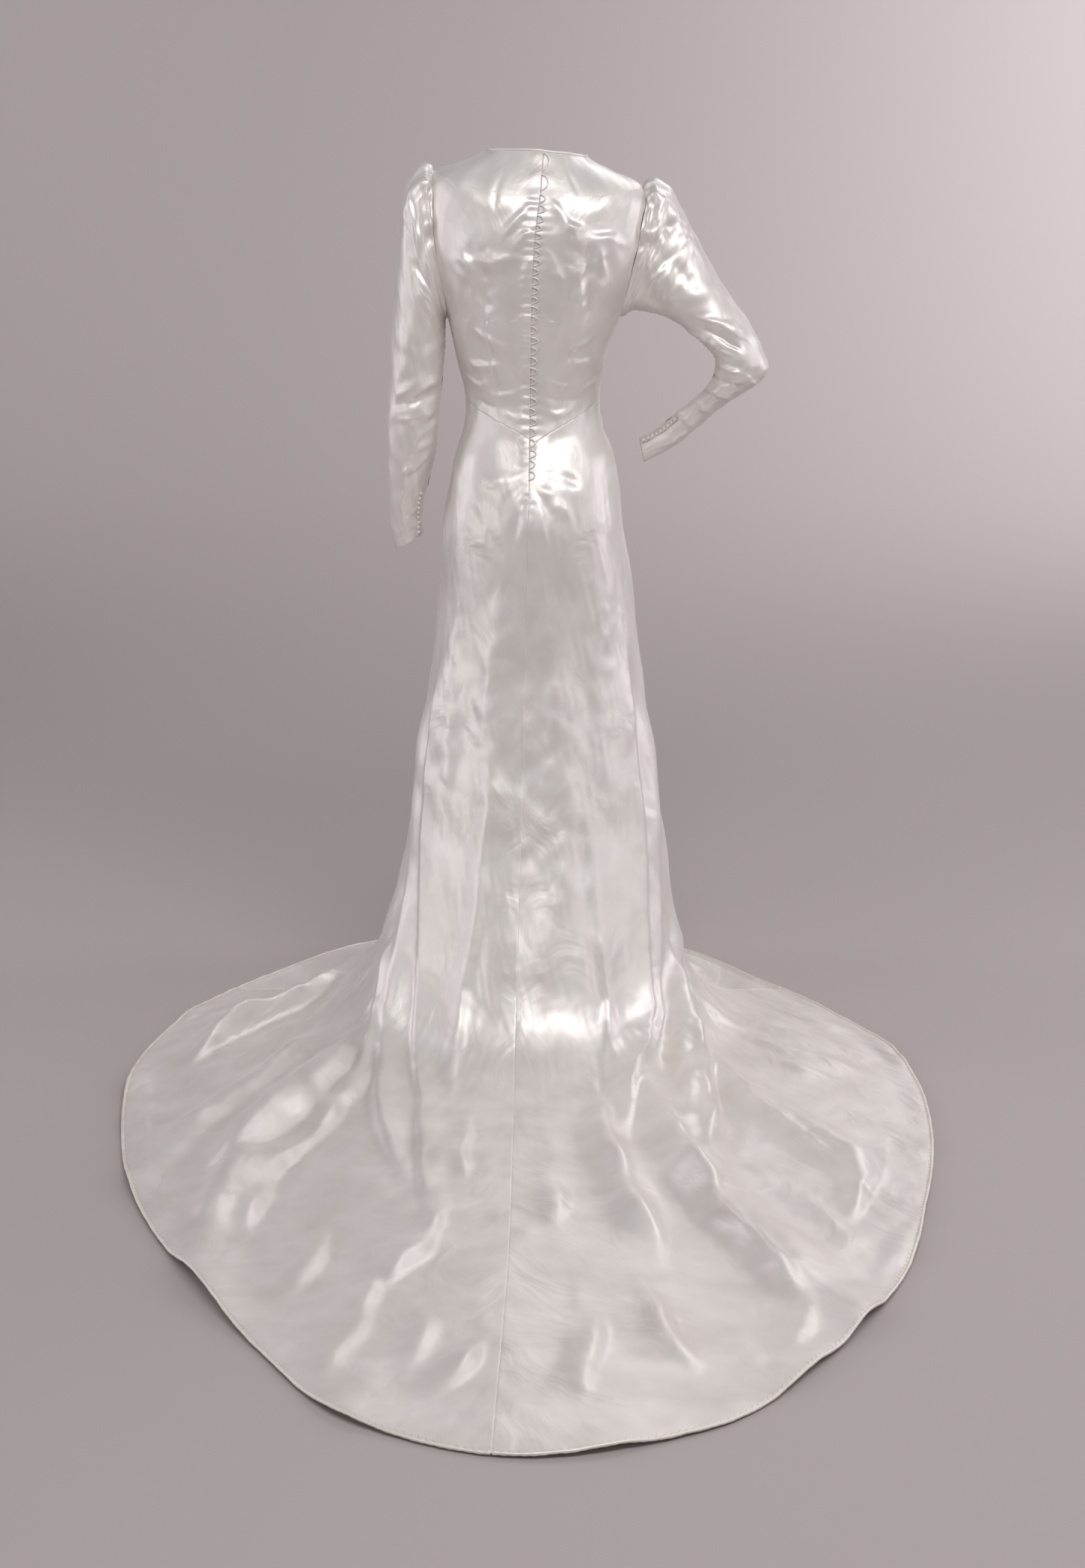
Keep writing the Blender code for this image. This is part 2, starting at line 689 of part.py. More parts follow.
def make_button_stand():
    """The underlap behind the left edge, with the covered buttons on it."""
    low = WALL + 4 * SEAM_GAP
    deep = low + BUTTON_HEIGHT
    section = ((-STAND_WIDTH, -deep), (-STAND_WIDTH / 2, -deep), (0.0, -deep), (STAND_PAST, -low))
    across, lift = np.array(section).T
    top, end = PLACKET_TOP + STAND_PAST, PLACKET_END - 2 * STAND_PAST
    rows = centre_rows()
    between = (rows < top - BUTTON_RADIUS) & (rows > end + BUTTON_RADIUS)
    rows = np.concatenate([[top], rows[between], [end]])[:, None]
    outer = placket_points(rows, across, lift)
    inner = placket_points(rows, across, lift - STRIP_WALL)
    strip = add_wall("button_stand", outer, inner, colour=CORDED)
    middles = placket_points(loop_levels(), -STAND_WIDTH / 2, -deep)
    tops = placket_points(loop_levels(), -STAND_WIDTH / 2, -low)
    places = list(zip(middles, tops - middles))
    join_domes(strip, add_domes("button_stand_domes", places, BUTTON_RADIUS, BUTTON_HEIGHT))


def make_cuff_buttons(name, sleeve, stations):
    """A narrow strip up from the wrist on the sleeve's face, with its row of small buttons."""
    half = CUFF_STRIP_WIDTH / 2
    turns = np.full(len(stations), CUFF_STRIP_TURN)
    middle = sleeve.surface(turns, np.array(stations))
    out = sleeve.outward(sleeve.plain, turns, np.array(stations))
    along = unit(np.gradient(middle, axis=0))
    across = unit(np.cross(along, out)) * half
    low, high = middle + out * 2 * SEAM_GAP, middle + out * (2 * SEAM_GAP + STRIP_WALL)
    outer = np.stack([high - across, high + across], axis=1)
    inner = np.stack([low - across, low + across], axis=1)
    strip = add_wall(name, outer, inner, colour=CORDED)
    lengths = np.concatenate([[0], np.cumsum(np.linalg.norm(np.diff(high, axis=0), axis=1))])
    places = []
    for i in range(CUFF_BUTTONS):
        ends = lengths[0] + half + CUFF_STRIP_END, lengths[-1] - half - CUFF_STRIP_END
        length = mix(*ends, i / (CUFF_BUTTONS - 1))
        point = [np.interp(length, lengths, high[:, axis]) for axis in range(3)]
        facing = [np.interp(length, lengths, out[:, axis]) for axis in range(3)]
        places.append((point, facing))
    join_domes(strip, add_domes(name + "_domes", places, CUFF_BUTTON_RADIUS, CUFF_BUTTON_HEIGHT))


def main():
    for item in list(bpy.data.objects):
        bpy.data.objects.remove(item)
    for name in ("wedding_dress", "cutters"):
        bpy.context.scene.collection.children.link(bpy.data.collections.new(name))

    make_front("bodice_front", bodice_levels)
    make_front("skirt_front", skirt_levels)
    for side, hand in ((-1, "left"), (1, "right")):
        make_back("bodice_back_" + hand, side, bodice_levels)
        make_back("skirt_back_" + hand, side, skirt_levels)

    left, right = Sleeve(-1, SLEEVE_LEFT), Sleeve(1, SLEEVE_RIGHT)
    make_sleeve("sleeve_left", left)
    make_sleeve("sleeve_right", right)

    make_neck_binding()
    make_hem("hem_front", side_angle(-1, 1, 1), math.tau + side_angle(-1, -1, 1), FRONT_COLUMNS)
    make_hem("hem_back_right", centre_edge(-1, 1), side_angle(-1, 1, -1), BACK_COLUMNS, TRAIN_SPREAD)
    make_hem("hem_back_left", centre_edge(-1, -1), side_angle(-1, -1, -1), BACK_COLUMNS, TRAIN_SPREAD)
    make_button_loops()
    make_button_stand()
    make_cuff_buttons("wrist_buttons_left", left, (10.3, 11, 11.95))
    make_cuff_buttons("wrist_buttons_right", right, (13.1, 14, 14.95))


main()
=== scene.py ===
"""Looks of the wedding dress on the frame of its solids: satin shells, trims, floor and light.

Metres, +Z up, +X to the wearer's right, +Y to the front, the origin between the shoulders. A place
on bodice or skirt is an angle round the body (0 at the centre back, +90 degrees at the wearer's
right, 180 at the front) and a level: a height above the floor while it is positive, and then the
share of the way along the floor to the hem, as a negative.
"""

import math

import bpy
import numpy as np
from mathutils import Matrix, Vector


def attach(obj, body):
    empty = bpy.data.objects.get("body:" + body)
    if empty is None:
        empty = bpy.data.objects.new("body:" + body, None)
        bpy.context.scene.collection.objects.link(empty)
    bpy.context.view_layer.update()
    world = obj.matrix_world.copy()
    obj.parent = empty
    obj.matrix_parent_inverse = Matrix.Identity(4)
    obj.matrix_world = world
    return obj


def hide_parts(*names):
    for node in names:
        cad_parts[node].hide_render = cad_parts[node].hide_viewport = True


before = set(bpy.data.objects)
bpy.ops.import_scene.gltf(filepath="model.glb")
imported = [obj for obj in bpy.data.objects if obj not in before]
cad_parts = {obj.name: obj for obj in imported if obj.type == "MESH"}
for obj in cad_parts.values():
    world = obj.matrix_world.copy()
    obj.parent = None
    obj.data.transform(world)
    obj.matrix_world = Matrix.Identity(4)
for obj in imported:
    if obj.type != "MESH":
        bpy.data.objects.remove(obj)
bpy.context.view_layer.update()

# Driving dimensions
SHOULDER_HEIGHT = 1.440
WALL = 0.002
SEAM_GAP = 0.0003
SQUARENESS = 0.12
SHOULDER_TILT = 0.066
TILT_FROM, TILT_TO = 1.22, 1.42

# Levels of the main lines
NECK = 1.470
SHOULDER_TIP = 1.430
ARMPIT = 1.205
WAIST_SIDE = 1.070
WAIST_POINT = 1.006
HIP = 0.890
PLACKET_TOP = 1.461
PLACKET_END = 0.955

# Armholes, sleeves and the turn of the skirt onto the floor
ARMHOLE_OPEN = math.radians(28)
SLEEVE_COLUMNS = 20
GATHER_DEPTH = 0.0035
BEND_HEIGHT = 0.15
BEND_RUN = 0.13
HEM_LIFT = 0.002

# Trims
BINDING_RADIUS = 0.0022
HEM_RADIUS = 0.003
LOOP_COUNT = 31
LOOP_RADIUS = 0.0012
LOOP_REACH = 0.010
LOOP_HALF = 0.0064
BUTTON_RADIUS = 0.0045
BUTTON_HEIGHT = 0.003
STAND_PAST = 0.006
STAND_WIDTH = 0.015
CUFF_BUTTONS = 9
CUFF_BUTTON_RADIUS = 0.0032
CUFF_BUTTON_HEIGHT = 0.003
CUFF_STRIP_WIDTH = 0.007
CUFF_STRIP_TURN = math.radians(225)
CUFF_STRIP_END = 0.002
STRIP_WALL = 0.001

# Half-widths and depths of the dress at each height, and how far the line dips at back and front
BODY_COLUMNS = ("level", "left", "right", "back", "front", "back_dip", "front_dip")
BODY_ROWS = (
    (1.484, 0.070, 0.078, 0.056, 0.072, -0.004, 0.036),
    (1.470, 0.080, 0.087, 0.062, 0.080, -0.004, 0.040),
    (1.452, 0.116, 0.127, 0.084, 0.092, 0.012, 0.050),
    (1.430, 0.166, 0.178, 0.103, 0.104, 0.027, 0.052),
    (1.400, 0.175, 0.190, 0.112, 0.116, 0.026, 0.044),
    (1.340, 0.182, 0.188, 0.118, 0.130, 0.014, 0.024),
    (1.276, 0.169, 0.172, 0.117, 0.141, 0.005, 0.008),
    (1.205, 0.146, 0.143, 0.110, 0.144, 0.0, 0.0),
    (1.139, 0.131, 0.120, 0.099, 0.124, 0.0, 0.0),
    (1.062, 0.117, 0.110, 0.090, 0.103, 0.0, 0.0),
    (1.020, 0.121, 0.117, 0.096, 0.104, 0.0, 0.0),
    (0.975, 0.136, 0.135, 0.116, 0.110, 0.0, 0.0),
    (0.930, 0.145, 0.142, 0.138, 0.116, 0.0, 0.0),
    (0.860, 0.156, 0.150, 0.154, 0.122, 0.0, 0.0),
    (0.760, 0.163, 0.166, 0.154, 0.128, 0.0, 0.0),
    (0.668, 0.173, 0.177, 0.160, 0.134, 0.0, 0.0),
    (0.561, 0.188, 0.191, 0.180, 0.144, 0.0, 0.0),
    (0.452, 0.202, 0.206, 0.208, 0.156, 0.0, 0.0),
    (0.341, 0.220, 0.222, 0.244, 0.170, 0.0, 0.0),
    (0.244, 0.236, 0.233, 0.284, 0.184, 0.0, 0.0),
    (0.166, 0.253, 0.244, 0.320, 0.196, 0.0, 0.0),
    (0.080, 0.282, 0.256, 0.354, 0.208, 0.0, 0.0),
    (0.000, 0.315, 0.270, 0.380, 0.216, 0.0, 0.0),
)

# Distance of the hem from the body's axis, by the angle round it in degrees
HEM_COLUMNS = ("angle", "distance")
HEM_ROWS = (
    (-180, 0.300),
    (-150, 0.348),
    (-118, 0.429),
    (-100, 0.484),
    (-80, 0.608),
    (-66, 0.715),
    (-47, 0.880),
    (-34, 1.040),
    (-23, 1.200),
    (-15, 1.352),
    (-8, 1.500),
    (0, 1.558),
    (8, 1.512),
    (16, 1.376),
    (25, 1.205),
    (33, 1.045),
    (46, 0.861),
    (64, 0.670),
    (78, 0.527),
    (101, 0.395),
    (126, 0.348),
    (150, 0.318),
    (180, 0.300),
)

# Sideways drift of the centre-back line on its way down
CENTRE_COLUMNS = ("level", "offset")
CENTRE_ROWS = (
    (1.484, 0.016),
    (1.358, 0.001),
    (1.240, -0.004),
    (1.006, -0.008),
    (0.700, -0.015),
    (0.400, -0.022),
    (0.147, -0.029),
    (0.000, -0.031),
    (-0.500, -0.033),
    (-1.000, -0.047),
)

# Sleeve sections: the two ends of each ring in the arm's plane, its middle and its half-depth
SLEEVE_NAMES = ("station", "inner_x", "inner_z", "outer_x", "outer_z", "middle_y", "half_depth")
SLEEVE_LEFT = (
    (1, -0.150, 1.202, -0.181, 1.450, 0.004, 0.066),
    (2, -0.151, 1.196, -0.205, 1.427, 0.003, 0.069),
    (3, -0.151, 1.190, -0.221, 1.373, 0.001, 0.068),
    (4, -0.151, 1.182, -0.229, 1.300, -0.003, 0.065),
    (5, -0.151, 1.168, -0.236, 1.220, -0.006, 0.060),
    (6, -0.153, 1.135, -0.242, 1.150, -0.010, 0.055),
    (7, -0.158, 1.085, -0.247, 1.075, -0.012, 0.050),
    (8, -0.163, 1.030, -0.251, 1.021, -0.010, 0.046),
    (9, -0.168, 0.985, -0.251, 0.960, -0.006, 0.042),
    (10, -0.180, 0.935, -0.251, 0.905, 0.000, 0.036),
    (11, -0.192, 0.885, -0.249, 0.855, 0.008, 0.031),
    (12, -0.194, 0.838, -0.240, 0.811, 0.014, 0.028),
)
SLEEVE_RIGHT = (
    (1, 0.151, 1.207, 0.196, 1.426, 0.004, 0.066),
    (2, 0.157, 1.212, 0.221, 1.416, 0.003, 0.069),
    (3, 0.169, 1.216, 0.246, 1.375, -0.001, 0.067),
    (4, 0.188, 1.214, 0.268, 1.338, -0.008, 0.063),
    (5, 0.211, 1.209, 0.293, 1.292, -0.018, 0.058),
    (6, 0.236, 1.198, 0.322, 1.246, -0.027, 0.053),
    (7, 0.263, 1.178, 0.354, 1.204, -0.036, 0.049),
    (8, 0.286, 1.158, 0.377, 1.163, -0.044, 0.046),
    (9, 0.301, 1.137, 0.390, 1.127, -0.050, 0.044),
    (10, 0.299, 1.115, 0.378, 1.103, -0.048, 0.042),
    (11, 0.287, 1.092, 0.345, 1.080, -0.038, 0.038),
    (12, 0.265, 1.068, 0.309, 1.052, -0.018, 0.034),
    (13, 0.239, 1.044, 0.274, 1.017, 0.005, 0.030),
    (14, 0.213, 1.018, 0.244, 0.988, 0.027, 0.027),
    (15, 0.180, 0.996, 0.188, 0.955, 0.048, 0.024),
)

# Largest folds: crest height, half-width on either side of the crest, and its route as levels and angles
FOLD_COLUMNS = ("height", "near_side", "far_side", "levels", "angles")
FOLD_ROWS = (
    (0.018, 0.045, 0.020, (0.62, 0.00, -0.49), (-75, -45, -11)),
    (0.018, 0.020, 0.045, (0.60, 0.00, -0.22), (75, 43, 11)),
    (0.022, 0.050, 0.030, (0.20, -0.10, -0.38), (80, 42, 20)),
    (0.032, 0.050, 0.050, (0.25, -0.10, -1.00), (-70, -47, -23)),
    (0.024, 0.040, 0.040, (-0.05, -0.40, -0.85), (-112, -82, -58)),
    (0.024, 0.045, 0.045, (-0.20, -0.50, -1.00), (-65, -47, -36)),
    (0.016, 0.040, 0.040, (-0.12, -0.35, -0.65), (10, 10, 9)),
    (0.030, 0.050, 0.050, (0.04, -0.40, -1.00), (28, 18, 19)),
    (0.026, 0.045, 0.045, (0.04, -0.40, -0.90), (56, 38, 32)),
    (0.010, 0.030, 0.030, (0.70, 0.30, -0.60), (150, 152, 154)),
    (0.010, 0.030, 0.030, (0.60, 0.30, -0.60), (-155, -156, -158)),
    (0.009, 0.030, 0.030, (0.50, 0.20, -0.60), (118, 117, 115)),
)
FOLD_FADE = 0.16

# Share of its height that a fold keeps at the hem, and the level where it starts to sink
HEM_SHARE = 0.4
SINK_FROM = -0.70

# One button loop: reach across the opening as a share of LOOP_REACH, and rise as a share of LOOP_HALF
LOOP_SHAPE = (
    (-0.10, 1.00),
    (0.35, 0.85),
    (0.82, 0.50),
    (1.00, 0.00),
    (0.82, -0.50),
    (0.35, -0.85),
    (-0.10, -1.00),
)

# How far the columns of the train crowd towards its centre seam
TRAIN_SPREAD = 1.5


class Table:
    """Rows of named columns, read smoothly by the value of the first column."""

    SAMPLES = 600

    def __init__(self, names, rows):
        values = np.array(sorted(rows), float)
        keys = values[:, 0]
        self.keys = np.linspace(keys[0], keys[-1], self.SAMPLES)
        self.columns = {name: self._smooth(keys, values[:, i + 1]) for i, name in enumerate(names[1:])}

    def _smooth(self, keys, values):
        """A cubic through the values that never swings past them."""
        spans = np.diff(keys)
        slopes = np.diff(values) / spans
        tangents = np.zeros(len(keys))
        tangents[0], tangents[-1] = slopes[0], slopes[-1]
        same_way = slopes[:-1] * slopes[1:] > 0
        either = np.where(same_way, slopes[:-1] + slopes[1:], 1)
        tangents[1:-1] = np.where(same_way, 2 * slopes[:-1] * slopes[1:] / either, 0)
        k = np.clip(np.searchsorted(keys, self.keys, "right") - 1, 0, len(spans) - 1)
        t = (self.keys - keys[k]) / spans[k]
        rise = tangents[k] * spans[k] * t * (1 - t) ** 2 - tangents[k + 1] * spans[k] * t**2 * (1 - t)
        return values[k] + (values[k + 1] - values[k]) * t**2 * (3 - 2 * t) + rise

    def at(self, key, name):
        return np.interp(key, self.keys, self.columns[name])


BODY = Table(BODY_COLUMNS, BODY_ROWS)
HEM = Table(HEM_COLUMNS, HEM_ROWS)
CENTRE = Table(CENTRE_COLUMNS, CENTRE_ROWS)


def ease(start, end, value):
    """A smooth step from 0 at start to 1 at end."""
    t = np.clip((value - start) / (end - start), 0, 1)
    return t * t * (3 - 2 * t)


def mix(first, second, share):
    return first + (second - first) * share


def unit(vectors):
    return vectors / np.linalg.norm(vectors, axis=-1, keepdims=True)


def hanging(angle, height):
    """A point of the hanging cloth, before its folds."""
    side, back = np.sin(angle), np.cos(angle)
    width = np.where(side > 0, BODY.at(height, "right"), BODY.at(height, "left"))
    depth = np.where(back > 0, BODY.at(height, "back"), BODY.at(height, "front"))
    dip = np.where(back > 0, BODY.at(height, "back_dip"), BODY.at(height, "front_dip"))
    x = width * side * (1 + SQUARENESS * back**2)
    y = -depth * back * (1 + SQUARENESS * side**2)
    tilt = SHOULDER_TILT * x * ease(TILT_FROM, TILT_TO, height)
    return np.stack([x, y, height - dip * back**2 - tilt - SHOULDER_HEIGHT], axis=-1)


def on_floor(angle, reach):
    """A point of the cloth that lies on the floor, and the length of its run from foot to hem."""
    foot = hanging(angle, 0 * angle)
    degrees = (np.degrees(angle) + 180) % 360 - 180
    distance = HEM.at(degrees, "distance")
    hem = np.stack([distance * np.sin(angle), -distance * np.cos(angle), foot[..., 2]], axis=-1)
    point = mix(foot, hem, reach[..., None])
    point[..., 2] += WALL + HEM_LIFT * ease(0.9, 1.0, reach)
    return point, np.linalg.norm(hem - foot, axis=-1)


def smooth_cloth(angle, level):
    """A point of the cloth without folds, from the neck down to the floor and out to the hem."""
    _, run = on_floor(angle, 0 * angle)
    bend_reach = np.minimum(0.5, BEND_RUN / run)
    above = hanging(angle, np.maximum(level, BEND_HEIGHT))
    foot = hanging(angle, 0 * angle)
    foot[..., 2] += WALL
    beyond, _ = on_floor(angle, np.maximum(-level, bend_reach))
    t = np.clip((BEND_HEIGHT - level) / (BEND_HEIGHT + bend_reach), 0, 1)[..., None]
    return (1 - t) ** 2 * above + 2 * t * (1 - t) * foot + t**2 * beyond


def normal_of(surface, first, second):
    """The outward normal of a surface of two coordinates."""
    step = 1e-3
    along = surface(first + step, second) - surface(first - step, second)
    down = surface(first, second + step) - surface(first, second - step)
    return unit(np.cross(along, down))


def fold_height(angle, level, rows=FOLD_ROWS):
    """How far the folds raise the cloth."""
    point = smooth_cloth(angle, level)
    radius = np.hypot(point[..., 0], point[..., 1])
    total = np.zeros_like(radius)
    for row in rows:
        fold = dict(zip(FOLD_COLUMNS, row))
        levels = np.array(fold["levels"])
        crest = np.radians(np.interp(-level, -levels, fold["angles"]))
        across = ((angle - crest + math.pi) % math.tau - math.pi) * radius
        width = np.where(across > 0, fold["near_side"], fold["far_side"])
        window = ease(levels[0], levels[0] - FOLD_FADE, level)
        if levels[-1] > -1:
            window = window * ease(levels[-1], levels[-1] + FOLD_FADE, level)
        total += fold["height"] * np.exp(-((across / width) ** 2)) * window
    return total * mix(1.0, HEM_SHARE, ease(SINK_FROM, -1.0, level))


def cloth(angle, level):
    """A point of the dress's outer face."""
    angle, level = np.broadcast_arrays(np.asarray(angle, float), np.asarray(level, float))
    lift = fold_height(angle, level)[..., None]
    return smooth_cloth(angle, level) + normal_of(smooth_cloth, angle, level) * lift


def radius_at(angle, level):
    """Metres of cloth for each radian at a place."""
    step = 0.01
    return np.linalg.norm(cloth(angle + step, level) - cloth(angle - step, level), axis=-1) / (2 * step)


def centre_angle(level):
    """The angle of the centre-back line at a level."""
    return CENTRE.at(level, "offset") / radius_at(0.0, level)


def waist_level(angle):
    """The waist seam: level at sides and front, with a point at the centre back."""
    rise = np.where(np.cos(angle) > 0, np.abs(np.sin(angle)) ** 0.85, 1.0)
    return mix(WAIST_POINT, WAIST_SIDE, rise)


def armhole_cut(level):
    """How far the armhole's edge lies from the side, as an angle."""
    middle, half = (SHOULDER_TIP + ARMPIT) / 2, (SHOULDER_TIP - ARMPIT) / 2
    return ARMHOLE_OPEN * np.sqrt(np.clip(1 - ((level - middle) / half) ** 2, 0, 1))


class Sleeve:
    """A sleeve's surface: a turn round it (0 outside, half a turn inside) and a station along it."""

    def __init__(self, side, rows):
        self.side = side
        top, bottom = self.armhole(0.0), self.armhole(math.pi)
        back, front = self.armhole(-math.pi / 2), self.armhole(math.pi / 2)
        height = SHOULDER_HEIGHT
        depth, middle = (front[1] - back[1]) / 2, (front[1] + back[1]) / 2
        first = (0, bottom[0], bottom[2] + height, top[0], top[2] + height, middle, depth)
        self.table = Table(SLEEVE_NAMES, (first, *rows))
        self.last = rows[-1][0]

    def armhole(self, turn):
        """A point of the armhole's edge."""
        turn = np.asarray(turn, float)
        level = mix(ARMPIT, SHOULDER_TIP, (1 + np.cos(turn)) / 2)
        return cloth(self.side * (math.pi / 2 + ARMHOLE_OPEN * np.sin(turn)), level)

    def ring(self, turn, station):
        read = self.table.at
        inner = [read(station, "inner_x"), read(station, "inner_z")]
        outer = [read(station, "outer_x"), read(station, "outer_z")]
        share = (1 + np.cos(turn)) / 2
        x, z = (mix(low, high, share) for low, high in zip(inner, outer))
        y = read(station, "middle_y") + read(station, "half_depth") * np.sin(turn)
        return np.stack([x, y, z - SHOULDER_HEIGHT], axis=-1)

    def plain(self, turn, station):
        """The sleeve before its gathers: rings that start as the armhole's own shape."""
        turn, station = np.broadcast_arrays(np.asarray(turn, float), np.asarray(station, float))
        from_armhole = np.clip(1 - station / 4, 0, 1)[..., None] ** 2
        return self.ring(turn, station) + (self.armhole(turn) - self.ring(turn, 0 * station)) * from_armhole

    def outward(self, surface, turn, station):
        normal = normal_of(surface, turn, station)
        out = surface(turn, station) - surface(turn + math.pi, station)
        facing = np.sign(np.sum(normal[..., :] * out, axis=-1, keepdims=True))
        return normal * facing

    def gathers(self, turn, station):
        """Pleats that fan out from the top of the armhole, a crest on every other column."""
        window = ease(0.0, 0.7, station) * ease(4.0, 1.5, station) * ease(-0.2, 0.3, np.cos(turn))
        return GATHER_DEPTH * np.cos(turn * SLEEVE_COLUMNS / 2) * window

    def surface(self, turn, station):
        turn, station = np.broadcast_arrays(np.asarray(turn, float), np.asarray(station, float))
        lift = self.gathers(turn, station)[..., None]
        return self.plain(turn, station) + self.outward(self.plain, turn, station) * lift


# Sharp edges of the long skirt folds, in the columns of the largest folds
EDGE_FOLD_ROWS = (
    (
        0.011, 0.055, 0.01,
        (0.7, 0.43, 0.29, 0.13, -0.01, -0.18, -0.32, -0.55),
        (-60, -54, -49, -42, -34, -21, -15, -8),
    ),
    (
        0.011, 0.01, 0.055,
        (0.68, 0.44, 0.3, 0.17, 0.04, -0.05, -0.16, -0.34),
        (56, 50, 48, 44, 40, 32, 20, 9),
    ),
    (0.01, 0.035, 0.01, (0.32, 0.13, 0.0, -0.14, -0.24, -0.44), (-60, -58, -50, -42, -36, -30)),
    (0.011, 0.01, 0.035, (0.28, 0.1, -0.02, -0.17, -0.26, -0.35, -0.55), (66, 62, 57, 47, 37, 29, 18)),
    (0.009, 0.03, 0.008, (0.4, 0.19, 0.05, -0.1, -0.34), (-74, -74, -75, -78, -75)),
    (0.008, 0.008, 0.03, (0.42, 0.2, 0.02, -0.15, -0.4), (78, 77, 76, 72, 66)),
    (0.007, 0.012, 0.024, (0.5, 0.3, 0.12, -0.04, -0.2), (-20, -21, -24, -20, -14)),
    (0.007, 0.024, 0.012, (0.44, 0.26, 0.1, -0.06, -0.22), (22, 24, 26, 20, 12)),
    (0.008, 0.01, 0.03, (0.6, 0.3, 0.0, -0.3), (160, 162, 163, 165)),
    (0.008, 0.03, 0.01, (0.56, 0.26, -0.04, -0.34), (-150, -151, -154, -156)),
)

